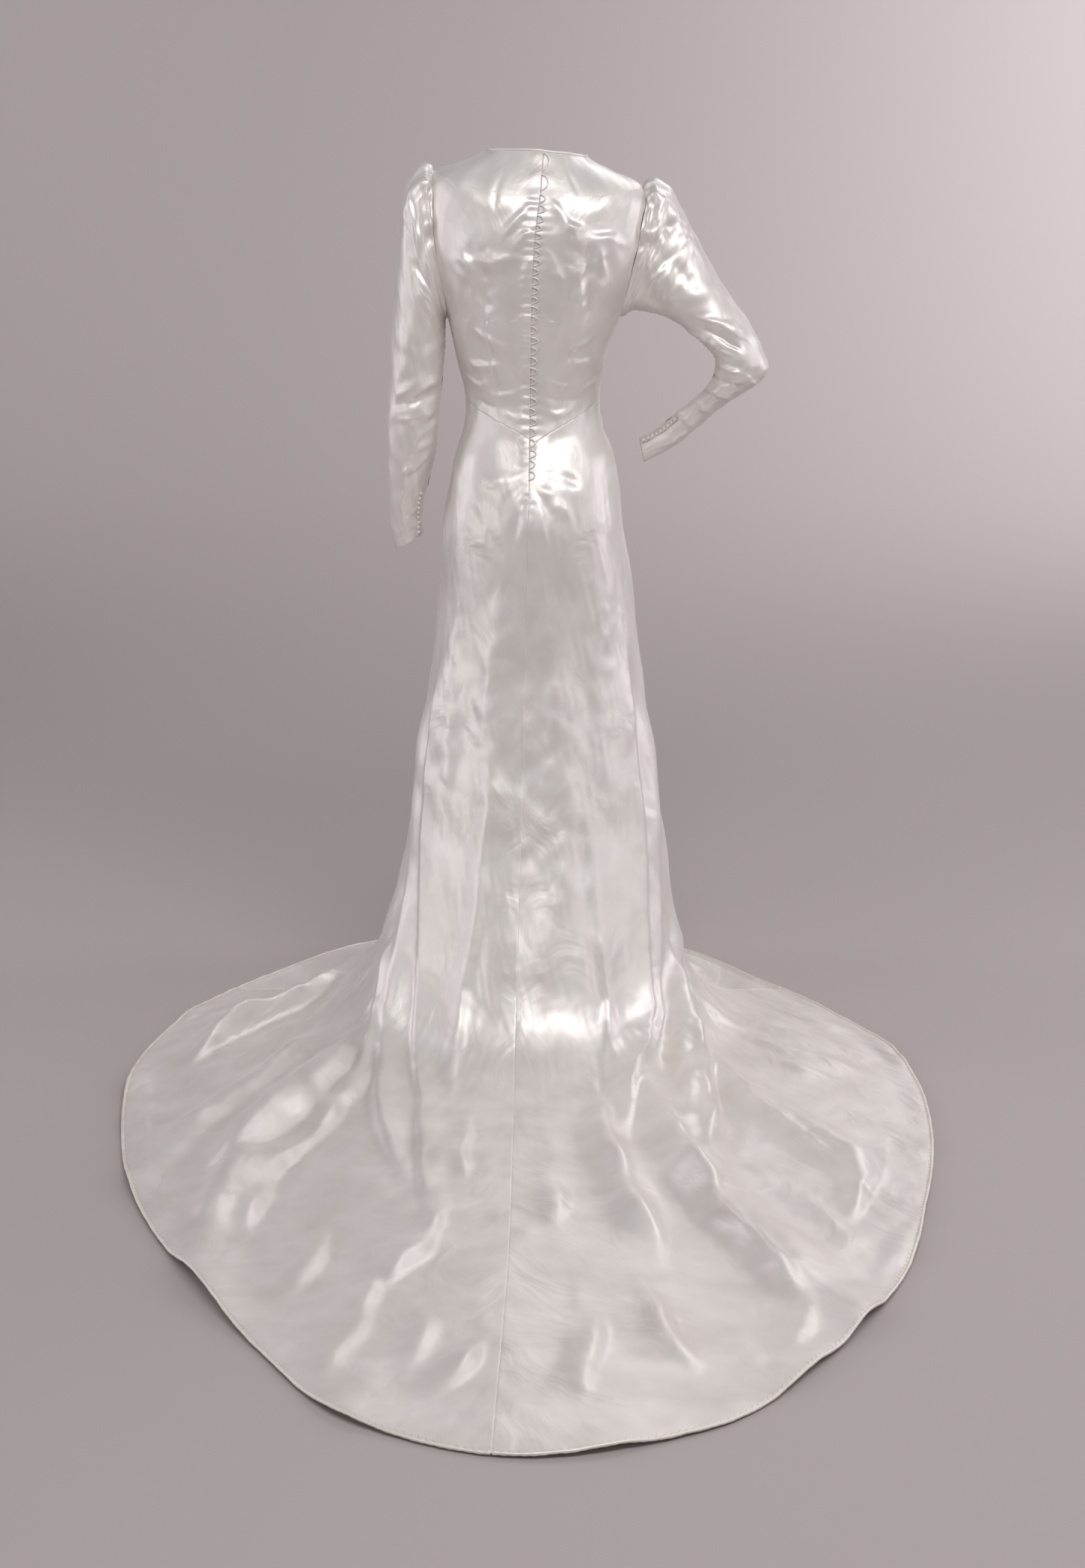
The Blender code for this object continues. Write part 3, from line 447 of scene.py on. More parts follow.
# Creases of the bodice back and hanging skirt back: height, half-width on either side, and a route
# as distance round from the centre back and level, both in metres
WALL_RADIUS = 0.15
CREASE_COLUMNS = ("height", "near", "far", "route")
BACK_CREASE_ROWS = (
    (
        -0.0014, 0.004, 0.004,
        ((-0.062, 1.463), (-0.063, 1.455), (-0.056, 1.442), (-0.051, 1.427), (-0.051, 1.39)),
    ),
    (-0.0014, 0.004, 0.004, ((0.089, 1.472), (0.073, 1.459), (0.06, 1.449), (0.05, 1.425))),
    (
        -0.0016, 0.004, 0.004,
        ((-0.079, 1.255), (-0.079, 1.202), (-0.079, 1.153), (-0.076, 1.104), (-0.059, 1.035)),
    ),
    (-0.0016, 0.004, 0.004, ((0.072, 1.22), (0.071, 1.141), (0.069, 1.091), (0.064, 1.035))),
    (0.0047, 0.01, 0.018, ((0.05, 1.37), (0.059, 1.282), (0.072, 1.19))),
    (0.0041, 0.008, 0.014, ((0.08, 1.37), (0.092, 1.28), (0.115, 1.19))),
    (-0.0041, 0.012, 0.012, ((0.064, 1.365), (0.077, 1.267), (0.096, 1.18))),
    (0.0034, 0.012, 0.018, ((-0.089, 1.38), (-0.092, 1.29), (-0.106, 1.19))),
    (-0.0034, 0.012, 0.012, ((-0.06, 1.345), (-0.068, 1.266), (-0.086, 1.19))),
    (0.0042, 0.01, 0.022, ((0.01, 1.352), (0.042, 1.377), (0.072, 1.356), (0.145, 1.333))),
    (0.0041, 0.01, 0.02, ((-0.14, 1.305), (-0.071, 1.302), (-0.01, 1.328))),
    (0.0027, 0.005, 0.007, ((0.0, 1.426), (-0.02, 1.395), (-0.04, 1.345))),
    (0.0027, 0.005, 0.007, ((0.002, 1.385), (-0.016, 1.356), (-0.028, 1.32))),
    (0.0018, 0.005, 0.007, ((0.003, 1.34), (-0.01, 1.295), (-0.02, 1.245))),
    (0.003, 0.005, 0.008, ((0.016, 1.436), (0.035, 1.398), (0.052, 1.352))),
    (0.0027, 0.005, 0.008, ((0.008, 1.345), (0.027, 1.302), (0.045, 1.245))),
    (0.003, 0.006, 0.01, ((-0.15, 1.14), (-0.1, 1.128), (-0.05, 1.134))),
    (0.0027, 0.006, 0.01, ((0.05, 1.132), (0.1, 1.14), (0.16, 1.128))),
    (-0.0035, 0.006, 0.01, ((-0.006, 0.952), (-0.03, 0.922), (-0.06, 0.88))),
    (0.004, 0.006, 0.01, ((-0.008, 0.958), (-0.043, 0.948), (-0.098, 0.932))),
    (-0.0031, 0.006, 0.008, ((-0.008, 0.945), (-0.022, 0.894), (-0.036, 0.835))),
    (0.004, 0.007, 0.012, ((-0.006, 0.95), (0.03, 0.922), (0.068, 0.868))),
    (-0.0031, 0.006, 0.01, ((-0.002, 0.957), (0.041, 0.955), (0.098, 0.94))),
    (0.0031, 0.006, 0.01, ((-0.007, 0.94), (0.012, 0.886), (0.022, 0.82))),
    (-0.0054, 0.018, 0.018, ((-0.13, 0.915), (-0.071, 0.875), (-0.04, 0.815))),
    (0.004, 0.02, 0.03, ((-0.047, 0.84), (-0.051, 0.625), (-0.055, 0.427), (-0.054, 0.22))),
    (0.0045, 0.02, 0.025, ((0.022, 0.76), (0.026, 0.551), (0.031, 0.356), (0.037, 0.18))),
    (-0.004, 0.02, 0.03, ((-0.002, 0.68), (0.007, 0.43), (0.01, 0.2))),
    (0.0054, 0.018, 0.022, ((-0.123, 0.76), (-0.118, 0.541), (-0.11, 0.32))),
    (0.004, 0.02, 0.02, ((0.093, 0.84), (0.097, 0.62), (0.093, 0.35))),
    (-0.0054, 0.018, 0.025, ((-0.076, 0.72), (-0.079, 0.497), (-0.076, 0.24))),
    (-0.0035, 0.02, 0.025, ((0.062, 0.7), (0.064, 0.45), (0.068, 0.22))),
    (0.0024, 0.005, 0.01, ((-0.2, 1.12), (-0.13, 1.098), (-0.085, 1.104))),
    (0.0022, 0.005, 0.009, ((-0.1, 1.088), (-0.055, 1.078), (-0.01, 1.098))),
    (-0.002, 0.005, 0.008, ((-0.17, 1.082), (-0.115, 1.07), (-0.06, 1.062))),
    (0.002, 0.004, 0.008, ((-0.075, 1.06), (-0.035, 1.046), (-0.006, 1.054))),
    (0.0026, 0.005, 0.01, ((0.0, 1.12), (0.05, 1.096), (0.095, 1.104))),
    (0.0022, 0.005, 0.009, ((0.09, 1.088), (0.14, 1.1), (0.2, 1.116))),
    (-0.002, 0.005, 0.008, ((0.005, 1.088), (0.06, 1.072), (0.115, 1.08))),
    (0.002, 0.004, 0.008, ((0.006, 1.062), (0.05, 1.05), (0.09, 1.064))),
    (0.0018, 0.005, 0.009, ((-0.12, 1.205), (-0.085, 1.176), (-0.03, 1.16))),
    (0.0018, 0.005, 0.009, ((0.13, 1.19), (0.095, 1.165), (0.04, 1.15))),
)

# The same for the front, from the centre front
FRONT_CREASE_ROWS = (
    (-0.0016, 0.004, 0.004, ((0.205, 1.205), (0.15, 1.222), (0.095, 1.232))),
    (-0.0016, 0.004, 0.004, ((-0.205, 1.205), (-0.15, 1.222), (-0.095, 1.232))),
    (-0.0016, 0.004, 0.004, ((0.07, 1.075), (0.074, 1.13), (0.08, 1.19))),
    (-0.0016, 0.004, 0.004, ((-0.07, 1.075), (-0.074, 1.13), (-0.08, 1.19))),
    (0.003, 0.008, 0.014, ((0.17, 1.33), (0.11, 1.3), (0.06, 1.29))),
    (0.0028, 0.008, 0.014, ((-0.18, 1.325), (-0.12, 1.305), (-0.05, 1.285))),
    (-0.0028, 0.01, 0.014, ((0.1, 1.25), (0.096, 1.18), (0.1, 1.11))),
    (-0.0026, 0.01, 0.014, ((-0.104, 1.255), (-0.098, 1.17), (-0.096, 1.11))),
    (0.003, 0.006, 0.01, ((-0.19, 1.098), (-0.06, 1.09), (0.05, 1.1))),
    (-0.0026, 0.006, 0.009, ((-0.06, 1.082), (0.06, 1.086), (0.2, 1.096))),
    (0.004, 0.02, 0.028, ((-0.1, 0.9), (-0.108, 0.6), (-0.116, 0.24))),
    (0.0042, 0.02, 0.026, ((0.096, 0.88), (0.104, 0.56), (0.11, 0.22))),
    (0.0036, 0.018, 0.026, ((-0.01, 0.8), (-0.004, 0.5), (0.004, 0.2))),
    (-0.004, 0.02, 0.024, ((-0.056, 0.76), (-0.06, 0.5), (-0.064, 0.22))),
    (-0.0038, 0.02, 0.024, ((0.05, 0.78), (0.056, 0.46), (0.058, 0.2))),
)

# Creases of the train: the same columns, with routes in X and Y
FLOOR_CREASE_ROWS = (
    (0.025, 0.012, 0.045, ((-0.34, -0.01), (-0.422, -0.047), (-0.502, -0.16), (-0.575, -0.32))),
    (-0.01, 0.03, 0.03, ((-0.33, -0.12), (-0.4, -0.22), (-0.47, -0.34), (-0.52, -0.45))),
    (0.034, 0.015, 0.06, ((-0.3, -0.26), (-0.35, -0.47), (-0.385, -0.59), (-0.44, -0.71), (-0.555, -0.83))),
    (-0.01, 0.04, 0.04, ((-0.259, -0.456), (-0.296, -0.605), (-0.351, -0.768), (-0.4, -0.91))),
    (
        0.028, 0.012, 0.05,
        ((-0.24, -0.33), (-0.289, -0.454), (-0.353, -0.683), (-0.4, -0.87), (-0.432, -1.16)),
    ),
    (0.022, 0.012, 0.045, ((-0.115, -0.89), (-0.146, -0.99), (-0.17, -1.075), (-0.205, -1.17))),
    (-0.01, 0.04, 0.04, ((-0.07, -0.86), (-0.09, -1.01), (-0.11, -1.16))),
    (0.022, 0.01, 0.04, ((0.09, -0.4), (0.112, -0.58), (0.13, -0.8), (0.165, -0.97), (0.185, -1.14))),
    (-0.01, 0.035, 0.04, ((0.06, -0.48), (0.07, -0.7), (0.095, -0.95))),
    (
        0.031, 0.011, 0.05,
        ((0.188, -0.508), (0.23, -0.736), (0.273, -0.925), (0.328, -1.091), (0.42, -1.285)),
    ),
    (-0.01, 0.04, 0.045, ((0.19, -0.76), (0.235, -0.93), (0.29, -1.09), (0.35, -1.23))),
    (0.025, 0.01, 0.045, ((0.262, -0.18), (0.276, -0.4), (0.276, -0.6), (0.266, -0.85))),
    (0.017, 0.01, 0.04, ((0.276, -0.339), (0.353, -0.542), (0.435, -0.722), (0.49, -0.83))),
    (-0.008, 0.04, 0.04, ((0.33, -0.64), (0.39, -0.8), (0.44, -0.96))),
    (0.008, 0.009, 0.022, ((0.32, -0.11), (0.439, -0.206), (0.532, -0.291), (0.615, -0.39))),
    (0.008, 0.009, 0.02, ((0.33, -0.2), (0.443, -0.293), (0.534, -0.377), (0.61, -0.465))),
    (0.007, 0.009, 0.02, ((0.37, -0.02), (0.484, -0.152), (0.57, -0.25))),
    (0.007, 0.007, 0.018, ((0.35, -0.29), (0.45, -0.38), (0.56, -0.48), (0.605, -0.56))),
    (0.017, 0.01, 0.035, ((0.55, -0.63), (0.51, -0.78), (0.45, -0.97))),
    (0.008, 0.007, 0.014, ((0.548, -0.93), (0.512, -1.085))),
    (0.008, 0.007, 0.014, ((0.53, -0.95), (0.49, -1.115))),
    (0.007, 0.007, 0.014, ((0.512, -0.975), (0.464, -1.165))),
    (0.014, 0.01, 0.03, ((0.376, -1.17), (0.357, -1.25), (0.33, -1.33))),
    (0.02, 0.01, 0.035, ((0.136, -1.06), (0.152, -1.175), (0.18, -1.27), (0.215, -1.44))),
    (-0.012, 0.016, 0.03, ((0.055, -1.05), (0.035, -1.19), (0.015, -1.36), (-0.005, -1.52))),
    (0.017, 0.01, 0.03, ((0.09, -1.18), (0.075, -1.32), (0.06, -1.46))),
    (0.02, 0.012, 0.04, ((-0.205, -1.08), (-0.235, -1.27), (-0.265, -1.43))),
    (0.017, 0.011, 0.035, ((-0.05, -1.27), (-0.09, -1.38), (-0.16, -1.42))),
    (0.017, 0.012, 0.035, ((-0.28, -0.93), (-0.299, -1.084), (-0.34, -1.22))),
    (0.014, 0.01, 0.024, ((-0.64, -0.4), (-0.614, -0.606), (-0.575, -0.84))),
    (0.014, 0.011, 0.035, ((0.3, -0.7), (0.405, -0.872), (0.46, -1.03))),
    (0.011, 0.014, 0.03, ((-0.48, -0.56), (-0.56, -0.64), (-0.625, -0.67))),
    (0.01, 0.014, 0.03, ((-0.43, -0.9), (-0.5, -0.96))),
    (0.013, 0.011, 0.03, ((-0.1, -0.56), (-0.11, -0.7), (-0.105, -0.82))),
    (0.011, 0.017, 0.03, ((0.02, -0.7), (0.03, -0.85), (0.03, -0.98))),
    (0.011, 0.017, 0.03, ((-0.15, -1.18), (-0.14, -1.3), (-0.17, -1.4))),
    (0.011, 0.017, 0.03, ((0.25, -1.21), (0.275, -1.32), (0.29, -1.39))),
)

# Creases of the sleeves: the same columns, with routes as turn and station
SLEEVE_SCALE = np.array((0.045, 0.05))
LEFT_CREASE_ROWS = (
    (0.006, 0.01, 0.02, ((-0.236, 2.2), (-1.283, 2.357), (-2.225, 1.2))),
    (-0.006, 0.012, 0.016, ((-1.152, 1.4), (-1.388, 2.862), (-1.257, 4.4))),
    (0.0045, 0.008, 0.016, ((-1.728, 0.4), (-2.094, 2.982), (-1.963, 5.1))),
    (0.004, 0.008, 0.012, ((-0.131, 1.4), (-0.628, 2.116), (-0.654, 3.2))),
    (0.004, 0.008, 0.012, ((-0.55, 1.3), (-0.969, 0.962), (-1.257, 0.04))),
    (0.005, 0.006, 0.012, ((-3.1, 6.4), (-2.016, 6.878), (-0.6, 6.974))),
    (-0.004, 0.006, 0.01, ((-3.1, 6.95), (-1.859, 7.214), (-0.55, 7.238))),
    (0.004, 0.006, 0.012, ((-3.05, 7.5), (-1.963, 7.695), (-0.85, 7.719))),
    (0.003, 0.005, 0.009, ((-3.1, 7.9), (-2.121, 8.152), (-1.4, 8.609))),
    (0.003, 0.005, 0.008, ((-2.85, 8.5), (-2.016, 8.705), (-1.3, 8.946))),
    (0.003, 0.005, 0.009, ((-2.6, 9.0), (-1.911, 9.355), (-1.0, 9.523))),
    (0.003, 0.008, 0.01, ((-1.518, 8.5), (-1.44, 9.908), (-1.44, 11.5))),
    (0.002, 0.004, 0.006, ((-3.1, 10.918), (-1.911, 10.966), (-0.8, 10.87))),
    (0.002, 0.004, 0.006, ((-3.246, 11.5), (-1.885, 11.543), (-0.65, 11.351))),
    (0.0035, 0.012, 0.018, ((-1.23, 4.7), (-1.178, 5.916), (-1.126, 7.0))),
)
RIGHT_CREASE_ROWS = (
    (-0.007, 0.007, 0.014, ((-0.5, 2.95), (-1.152, 2.375), (-1.7, 1.6))),
    (0.005, 0.008, 0.014, ((-0.25, 0.45), (-0.838, 1.653), (-1.2, 2.5))),
    (0.004, 0.006, 0.012, ((-0.628, 0.0), (-1.126, 0.872), (-1.6, 0.99))),
    (0.005, 0.01, 0.018, ((-0.55, 1.8), (-0.602, 3.367), (-0.733, 4.8))),
    (-0.005, 0.01, 0.016, ((-1.388, 2.3), (-1.414, 4.118), (-1.388, 5.6))),
    (0.005, 0.008, 0.016, ((-1.623, 1.1), (-1.885, 3.367), (-2.094, 5.4))),
    (-0.004, 0.008, 0.014, ((-1.859, 0.6), (-2.173, 3.006), (-2.5, 4.8))),
    (0.006, 0.006, 0.012, ((-3.2, 6.3), (-2.487, 7.335), (-1.95, 8.8))),
    (-0.005, 0.005, 0.01, ((-2.35, 6.2), (-1.937, 7.335), (-1.35, 8.4))),
    (0.005, 0.006, 0.012, ((-2.0, 5.9), (-1.518, 6.914), (-0.75, 7.95))),
    (0.005, 0.006, 0.01, ((-3.0, 9.3), (-1.963, 9.439), (-0.45, 10.4))),
    (-0.004, 0.005, 0.01, ((-3.272, 10.281), (-1.99, 10.341), (-0.5, 10.762))),
    (0.004, 0.005, 0.01, ((-3.325, 11.032), (-1.963, 11.122), (-0.15, 11.483))),
    (0.003, 0.005, 0.008, ((-3.0, 11.874), (-1.571, 12.174), (-0.35, 12.234))),
    (0.003, 0.005, 0.008, ((-3.325, 12.745), (-1.649, 12.986), (-0.25, 13.016))),
    (0.002, 0.004, 0.007, ((-2.5, 13.768), (-1.1, 14.008), (-0.1, 14.038))),
    (0.003, 0.008, 0.012, ((-1.1, 12.5), (-1.073, 13.677), (-1.178, 14.7))),
)

# Places where the hem lifts off the floor: angle in degrees, height and half-width in metres
HEM_LIFT_ROWS = (
    (-19.5, 0.014, 0.060),
    (14.5, 0.008, 0.050),
    (19.0, 0.008, 0.040),
    (-56.0, 0.010, 0.060),
    (31.0, 0.006, 0.030),
    (27.5, 0.006, 0.030),
    (4.0, 0.008, 0.045),
    (-9.0, 0.008, 0.050),
    (62.0, 0.006, 0.050),
    (-78.0, 0.006, 0.050),
    (160.0, 0.004, 0.050),
    (-150.0, 0.004, 0.050),
)

# Relief of the cloth: seams, placket, creases and slow waves
SEAM_PUCKER = 0.0009
SEAM_PERIOD = 0.013
CENTRE_SEAM_WIDTH, SIDE_SEAM_WIDTH, WAIST_SEAM_WIDTH = 0.009, 0.008, 0.010
WAIST_PERIOD = 0.021
SIDE_PUCKER, WAIST_PUCKER = 0.5 * SEAM_PUCKER, 0.4 * SEAM_PUCKER
TRAIN_RUN = 1.18
LOOP_PITCH = (PLACKET_TOP - PLACKET_END) / (LOOP_COUNT - 1)
RUCK_HEIGHT, RUCK_WIDTH = 0.0011, 0.011
LAP_HEIGHT, LAP_WIDTH = 0.0012, 0.006
PLACKET_FOOT = 0.93
FADE = 0.38
WANDER, FINE_WANDER = 0.16, 0.25
WALL_PITCH = 0.014
FLOOR_PITCH = 0.050
SLEEVE_PITCH = 0.010
BODICE_RELIEF = 1.5
FLOOR_RELIEF = 0.9
HEM_CREASE_SHARE, HEM_CREASE_FROM = 0.3, -0.76
TRAIN_WAVES = ((0.045, 0.0030), (0.019, 0.0011), (0.0085, 0.0004))
FAN_WAVE, FAN_PITCH, PATCH_PITCH = 0.0012, 0.011, 0.060
SKIRT_WAVE, SKIRT_PITCH = 0.0018, 0.020
SKIRT_RIPPLE, RIPPLE_PITCH = 0.22 * SKIRT_WAVE, 0.0075
SKIRT_WAVES_FULL = 0.90
BODICE_WAVE, BODICE_PITCH = 0.0009, 0.011
LIFTED_HEM_FROM = -0.86
FLOOR_ROUNDING = 0.004


def smooth_route(route):
    """The route with its corners rounded off."""
    points = np.array(route, float)
    for _ in range(3):
        first, second = points[:-1], points[1:]
        between = np.stack([mix(first, second, 0.25), mix(first, second, 0.75)], axis=1)
        points = np.concatenate([points[:1], between.reshape(-1, 2), points[-1:]])
    return points


def wrapped(angle):
    return (angle + math.pi) % math.tau - math.pi


def bell(offset, width):
    """1 on a line and nothing a few widths away from it."""
    return np.exp(-((offset / width) ** 2))


def run_along(points):
    """Distance along a line of points."""
    return np.concatenate([[0], np.cumsum(np.linalg.norm(np.diff(points, axis=0), axis=1))])


def waves(first, second, pitch):
    """A slow uneven undulation of two lengths, from -1 to 1."""
    one = np.sin(first / pitch + 1.7 * np.sin(second / pitch * 0.61 + 0.4))
    two = np.sin(second / pitch * 0.83 + 1.3 * np.sin(first / pitch * 0.47 + 2.1))
    return one * two


def wandering(first, second, pitch):
    """How far a crease strays from its route, as shares of its width both ways."""
    slow = np.stack([waves(first, second, pitch), waves(second + 1.7, first - 0.9, pitch)], axis=-1)
    quick = np.stack([waves(second, first, pitch / 3), waves(first, second + 0.6, pitch / 3)], axis=-1)
    return slow + FINE_WANDER * quick


def chart_lift(chart, rows, pitch, scale=1.0):
    """How far creases raise the cloth at places of a flat chart; they wander and swell along their way."""
    chart = chart * scale
    first, second = chart[..., 0], chart[..., 1]
    wander = wandering(first, second, pitch)
    swell = 0.85 + 0.4 * waves(first + 0.5, second - 0.3, 0.8 * pitch)
    total = np.zeros(chart.shape[:-1])
    for row in rows:
        crease = dict(zip(CREASE_COLUMNS, row))
        points = smooth_route(crease["route"]) * scale
        margin = 3 * max(crease["near"], crease["far"])
        place = chart + WANDER * (crease["near"] + crease["far"]) * wander
        near_route = (place > points.min(axis=0) - margin) & (place < points.max(axis=0) + margin)
        inside = near_route.all(axis=-1)
        if not inside.any():
            continue
        step, run = np.diff(points, axis=0), run_along(points)
        lengths = np.diff(run)
        offset = place[inside][:, None] - points[:-1]
        share = np.clip((offset * step).sum(axis=-1) / lengths**2, 0, 1)
        offset = offset - share[..., None] * step
        distance = np.linalg.norm(offset, axis=-1)
        best = distance.argmin(axis=1)
        pick = (np.arange(len(best)), best)
        turn = step[best, 0] * offset[pick][:, 1] - step[best, 1] * offset[pick][:, 0]
        along = (run[best] + share[pick] * lengths[best]) / run[-1]
        window = ease(0, FADE, along) * ease(1, 1 - FADE, along)
        width = np.where(turn > 0, crease["near"], crease["far"]) * mix(0.5, 1.0, window)
        total[inside] += crease["height"] * bell(distance[pick], width) * window
    return total * swell


def train_relief(angle, level, point, radius):
    """Creases and slow waves of the cloth on the floor."""
    near_hem = mix(1.0, HEM_CREASE_SHARE, ease(HEM_CREASE_FROM, -1.0, level))
    lift = FLOOR_RELIEF * chart_lift(point[..., :2], FLOOR_CREASE_ROWS, FLOOR_PITCH) * near_hem
    x, y = point[..., 0], point[..., 1]
    for pitch, height in TRAIN_WAVES:
        lift += height * waves(x + 0.2 * y, y * 0.7, pitch)
    patches = 0.55 + 0.45 * waves(y, x, PATCH_PITCH)
    return lift + FAN_WAVE * waves(wrapped(angle) * 0.9, radius * 0.22, FAN_PITCH) * patches


def wall_relief(angle, level):
    """Creases of the bodice and the hanging skirt."""
    back, front = wrapped(angle) * WALL_RADIUS, wrapped(angle - math.pi) * WALL_RADIUS
    lift = chart_lift(np.stack([back, level], axis=-1), BACK_CREASE_ROWS, WALL_PITCH)
    lift += chart_lift(np.stack([front, level], axis=-1), FRONT_CREASE_ROWS, WALL_PITCH)
    return lift * mix(1.0, BODICE_RELIEF, ease(WAIST_SIDE, ARMPIT, level))


def seam_relief(angle, level, radius, around, centre):
    """Pucker along the centre-back seam, the side seams and the waist seam."""
    run = -level * np.where(level < 0, TRAIN_RUN, 1.0)
    pucker = np.sin(run * math.tau / SEAM_PERIOD + 2 * np.sin(run * 23))
    lift = SEAM_PUCKER * pucker * ease(PLACKET_END, PLACKET_FOOT, level) * bell(centre, CENTRE_SEAM_WIDTH)
    right, left = wrapped(angle - math.pi / 2), wrapped(angle + math.pi / 2)
    side = np.where(np.abs(right) < 0.5, right, left) * radius
    pucker = np.sin(run * 1.3 * math.tau / SEAM_PERIOD)
    lift += SIDE_PUCKER * pucker * bell(side, SIDE_SEAM_WIDTH)
    pucker = np.sin(around * math.tau / WAIST_PERIOD + 3 * np.sin(around * 31))
    return lift + WAIST_PUCKER * pucker * bell(level - waist_level(angle), WAIST_SEAM_WIDTH)


def placket_relief(level, centre):
    """Rucks between the loops, the lap of the left edge and the swell over each button."""
    ruck = np.sin((level - PLACKET_END) * math.tau / LOOP_PITCH)
    uneven = 0.65 + 0.5 * waves(level, centre, RUCK_WIDTH)
    lift = RUCK_HEIGHT * ruck * uneven * bell(centre, RUCK_WIDTH)
    lift += LAP_HEIGHT * np.where(centre < 0, bell(centre, LAP_WIDTH), 0)
    lift += LAP_HEIGHT * bell(centre + STAND_WIDTH / 2, BUTTON_RADIUS) * (0.5 + 0.5 * ruck)
    return lift * ease(PLACKET_END - 0.01, PLACKET_END + 0.02, level)


def crease_height(angle, level):
    """How far creases, seams and hem raise the cloth of bodice and skirt."""
    point = smooth_cloth(angle, level)
    radius = np.hypot(point[..., 0], point[..., 1])
    around = wrapped(angle) * np.minimum(radius, 0.6)
    centre = wrapped(angle - centre_angle(level)) * radius
    on_train = ease(0.08, -0.06, level)
    on_skirt = ease(WAIST_POINT, SKIRT_WAVES_FULL, level) * (1 - on_train)
    on_bodice = (1 - on_skirt) * (1 - on_train)

    lift = wall_relief(angle, level) + fold_height(angle, level, EDGE_FOLD_ROWS)
    lift += train_relief(angle, level, point, radius) * on_train
    lift += SKIRT_WAVE * waves(around + 0.25 * level, level * 0.45, SKIRT_PITCH) * on_skirt
    lift += SKIRT_RIPPLE * waves(around - 0.3 * level, level * 0.7 + around, RIPPLE_PITCH) * on_skirt
    lift += BODICE_WAVE * waves(around, level * 0.6, BODICE_PITCH) * on_bodice
    lift += seam_relief(angle, level, radius, around, centre) + placket_relief(level, centre)
    lifted = ease(LIFTED_HEM_FROM, -1.0, level)
    for degrees, height, width in HEM_LIFT_ROWS:
        lift += height * lifted * bell(wrapped(angle - math.radians(degrees)) * radius, width)
    return lift


def dress(angle, level):
    """A point of the dressed cloth's outer face."""
    angle, level = np.broadcast_arrays(np.asarray(angle, float), np.asarray(level, float))
    lift = fold_height(angle, level) + crease_height(angle, level)
    above_floor = (lift + np.sqrt(lift**2 + FLOOR_ROUNDING**2)) / 2
    lift = mix(lift, above_floor, ease(0.10, 0.0, level))
    return smooth_cloth(angle, level) + normal_of(smooth_cloth, angle, level) * lift[..., None]


# Meshes
EDGE_STEPS = np.array((0.0, 0.0006, 0.0014, 0.0030, 0.0060))
EDGE_DROP = 0.0004
EDGE_REACH = 0.0009
SHELL = 0.0005


def edge_shares(width, count):
    """Shares from 0 to 1 with a few close steps at both ends, for each width in metres."""
    steps = EDGE_STEPS / np.asarray(width, float)[..., None]
    last = steps[..., -1:]
    inner = mix(last, 1 - last, np.linspace(0, 1, count - 2 * len(EDGE_STEPS) + 2)[1:-1])
    return np.concatenate([steps, inner, 1 - steps[..., ::-1]], axis=-1)


def add_mesh(name, points, faces, uv):
    mesh = bpy.data.meshes.new(name)
    mesh.from_pydata(points.reshape(-1, 3).tolist(), [], faces.tolist())
    layer = mesh.uv_layers.new(name="cloth")
    corners = np.empty(len(mesh.loops), int)
    mesh.loops.foreach_get("vertex_index", corners)
    layer.data.foreach_set("uv", uv.reshape(-1, 2)[corners].ravel())
    mesh.shade_smooth()
    item = bpy.data.objects.new(name, mesh)
    bpy.context.collection.objects.link(item)
    return item


def grid_faces(rows, columns, closed=False):
    """Faces of a grid, faced so that along times down points out."""
    last = columns if closed else columns - 1
    row, column = np.meshgrid(np.arange(rows - 1), np.arange(last), indexing="ij")
    ahead = (column + 1) % columns
    here, below = row * columns, (row + 1) * columns
    corners = (here + column, below + column, below + ahead, here + ahead)
    return np.stack(corners, axis=-1).reshape(-1, 4)


def lengths_along(points, axis):
    steps = np.linalg.norm(np.diff(points, axis=axis), axis=-1)
    first = np.zeros_like(np.take(steps, [0], axis=axis))
    return np.concatenate([first, np.cumsum(steps, axis=axis)], axis=axis)


def add_shell(name, points, normal, material):
    """A thin shell of cloth inwards from a grid of points, its edges turned in."""
    across, down = lengths_along(points, 1), lengths_along(points, 0)
    drop = np.exp(-down / EDGE_REACH) + np.exp(-(down[-1:] - down) / EDGE_REACH)
    drop += np.exp(-across / EDGE_REACH) + np.exp(-(across[:, -1:] - across) / EDGE_REACH)
    points = points - normal * (EDGE_DROP * np.minimum(drop, 1))[..., None]
    middle = across - across[:, -1:] / 2
    uv = np.stack([middle, -down], axis=-1)
    item = add_mesh(name + "_cloth", points, grid_faces(*points.shape[:2]), uv)
    wall = item.modifiers.new("wall", "SOLIDIFY")
    wall.thickness = SHELL
    wall.offset = -1
    wall.use_even_offset = False
    item.data.materials.append(material)
    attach(item, "root")
    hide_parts(name)
    return item


# Rows and columns of bodice and skirt
PANEL_COLUMNS = {
    "bodice_front": 120,
    "bodice_back_left": 84,
    "bodice_back_right": 84,
    "skirt_front": 92,
    "skirt_back_left": 190,
    "skirt_back_right": 190,
}
SHOULDER_LEVELS, ARMHOLE_LEVELS, MIDRIFF_LEVELS = 10, 70, 60
HIP_LEVELS, HANGING_LEVELS, BEND_LEVELS, FLOOR_LEVELS = 34, 64, 50, 90
BEND_FROM, BEND_TO = 0.16, -0.16
HEM_LEVELS = (-0.985, -0.990, -0.994, -0.997, -1.0)


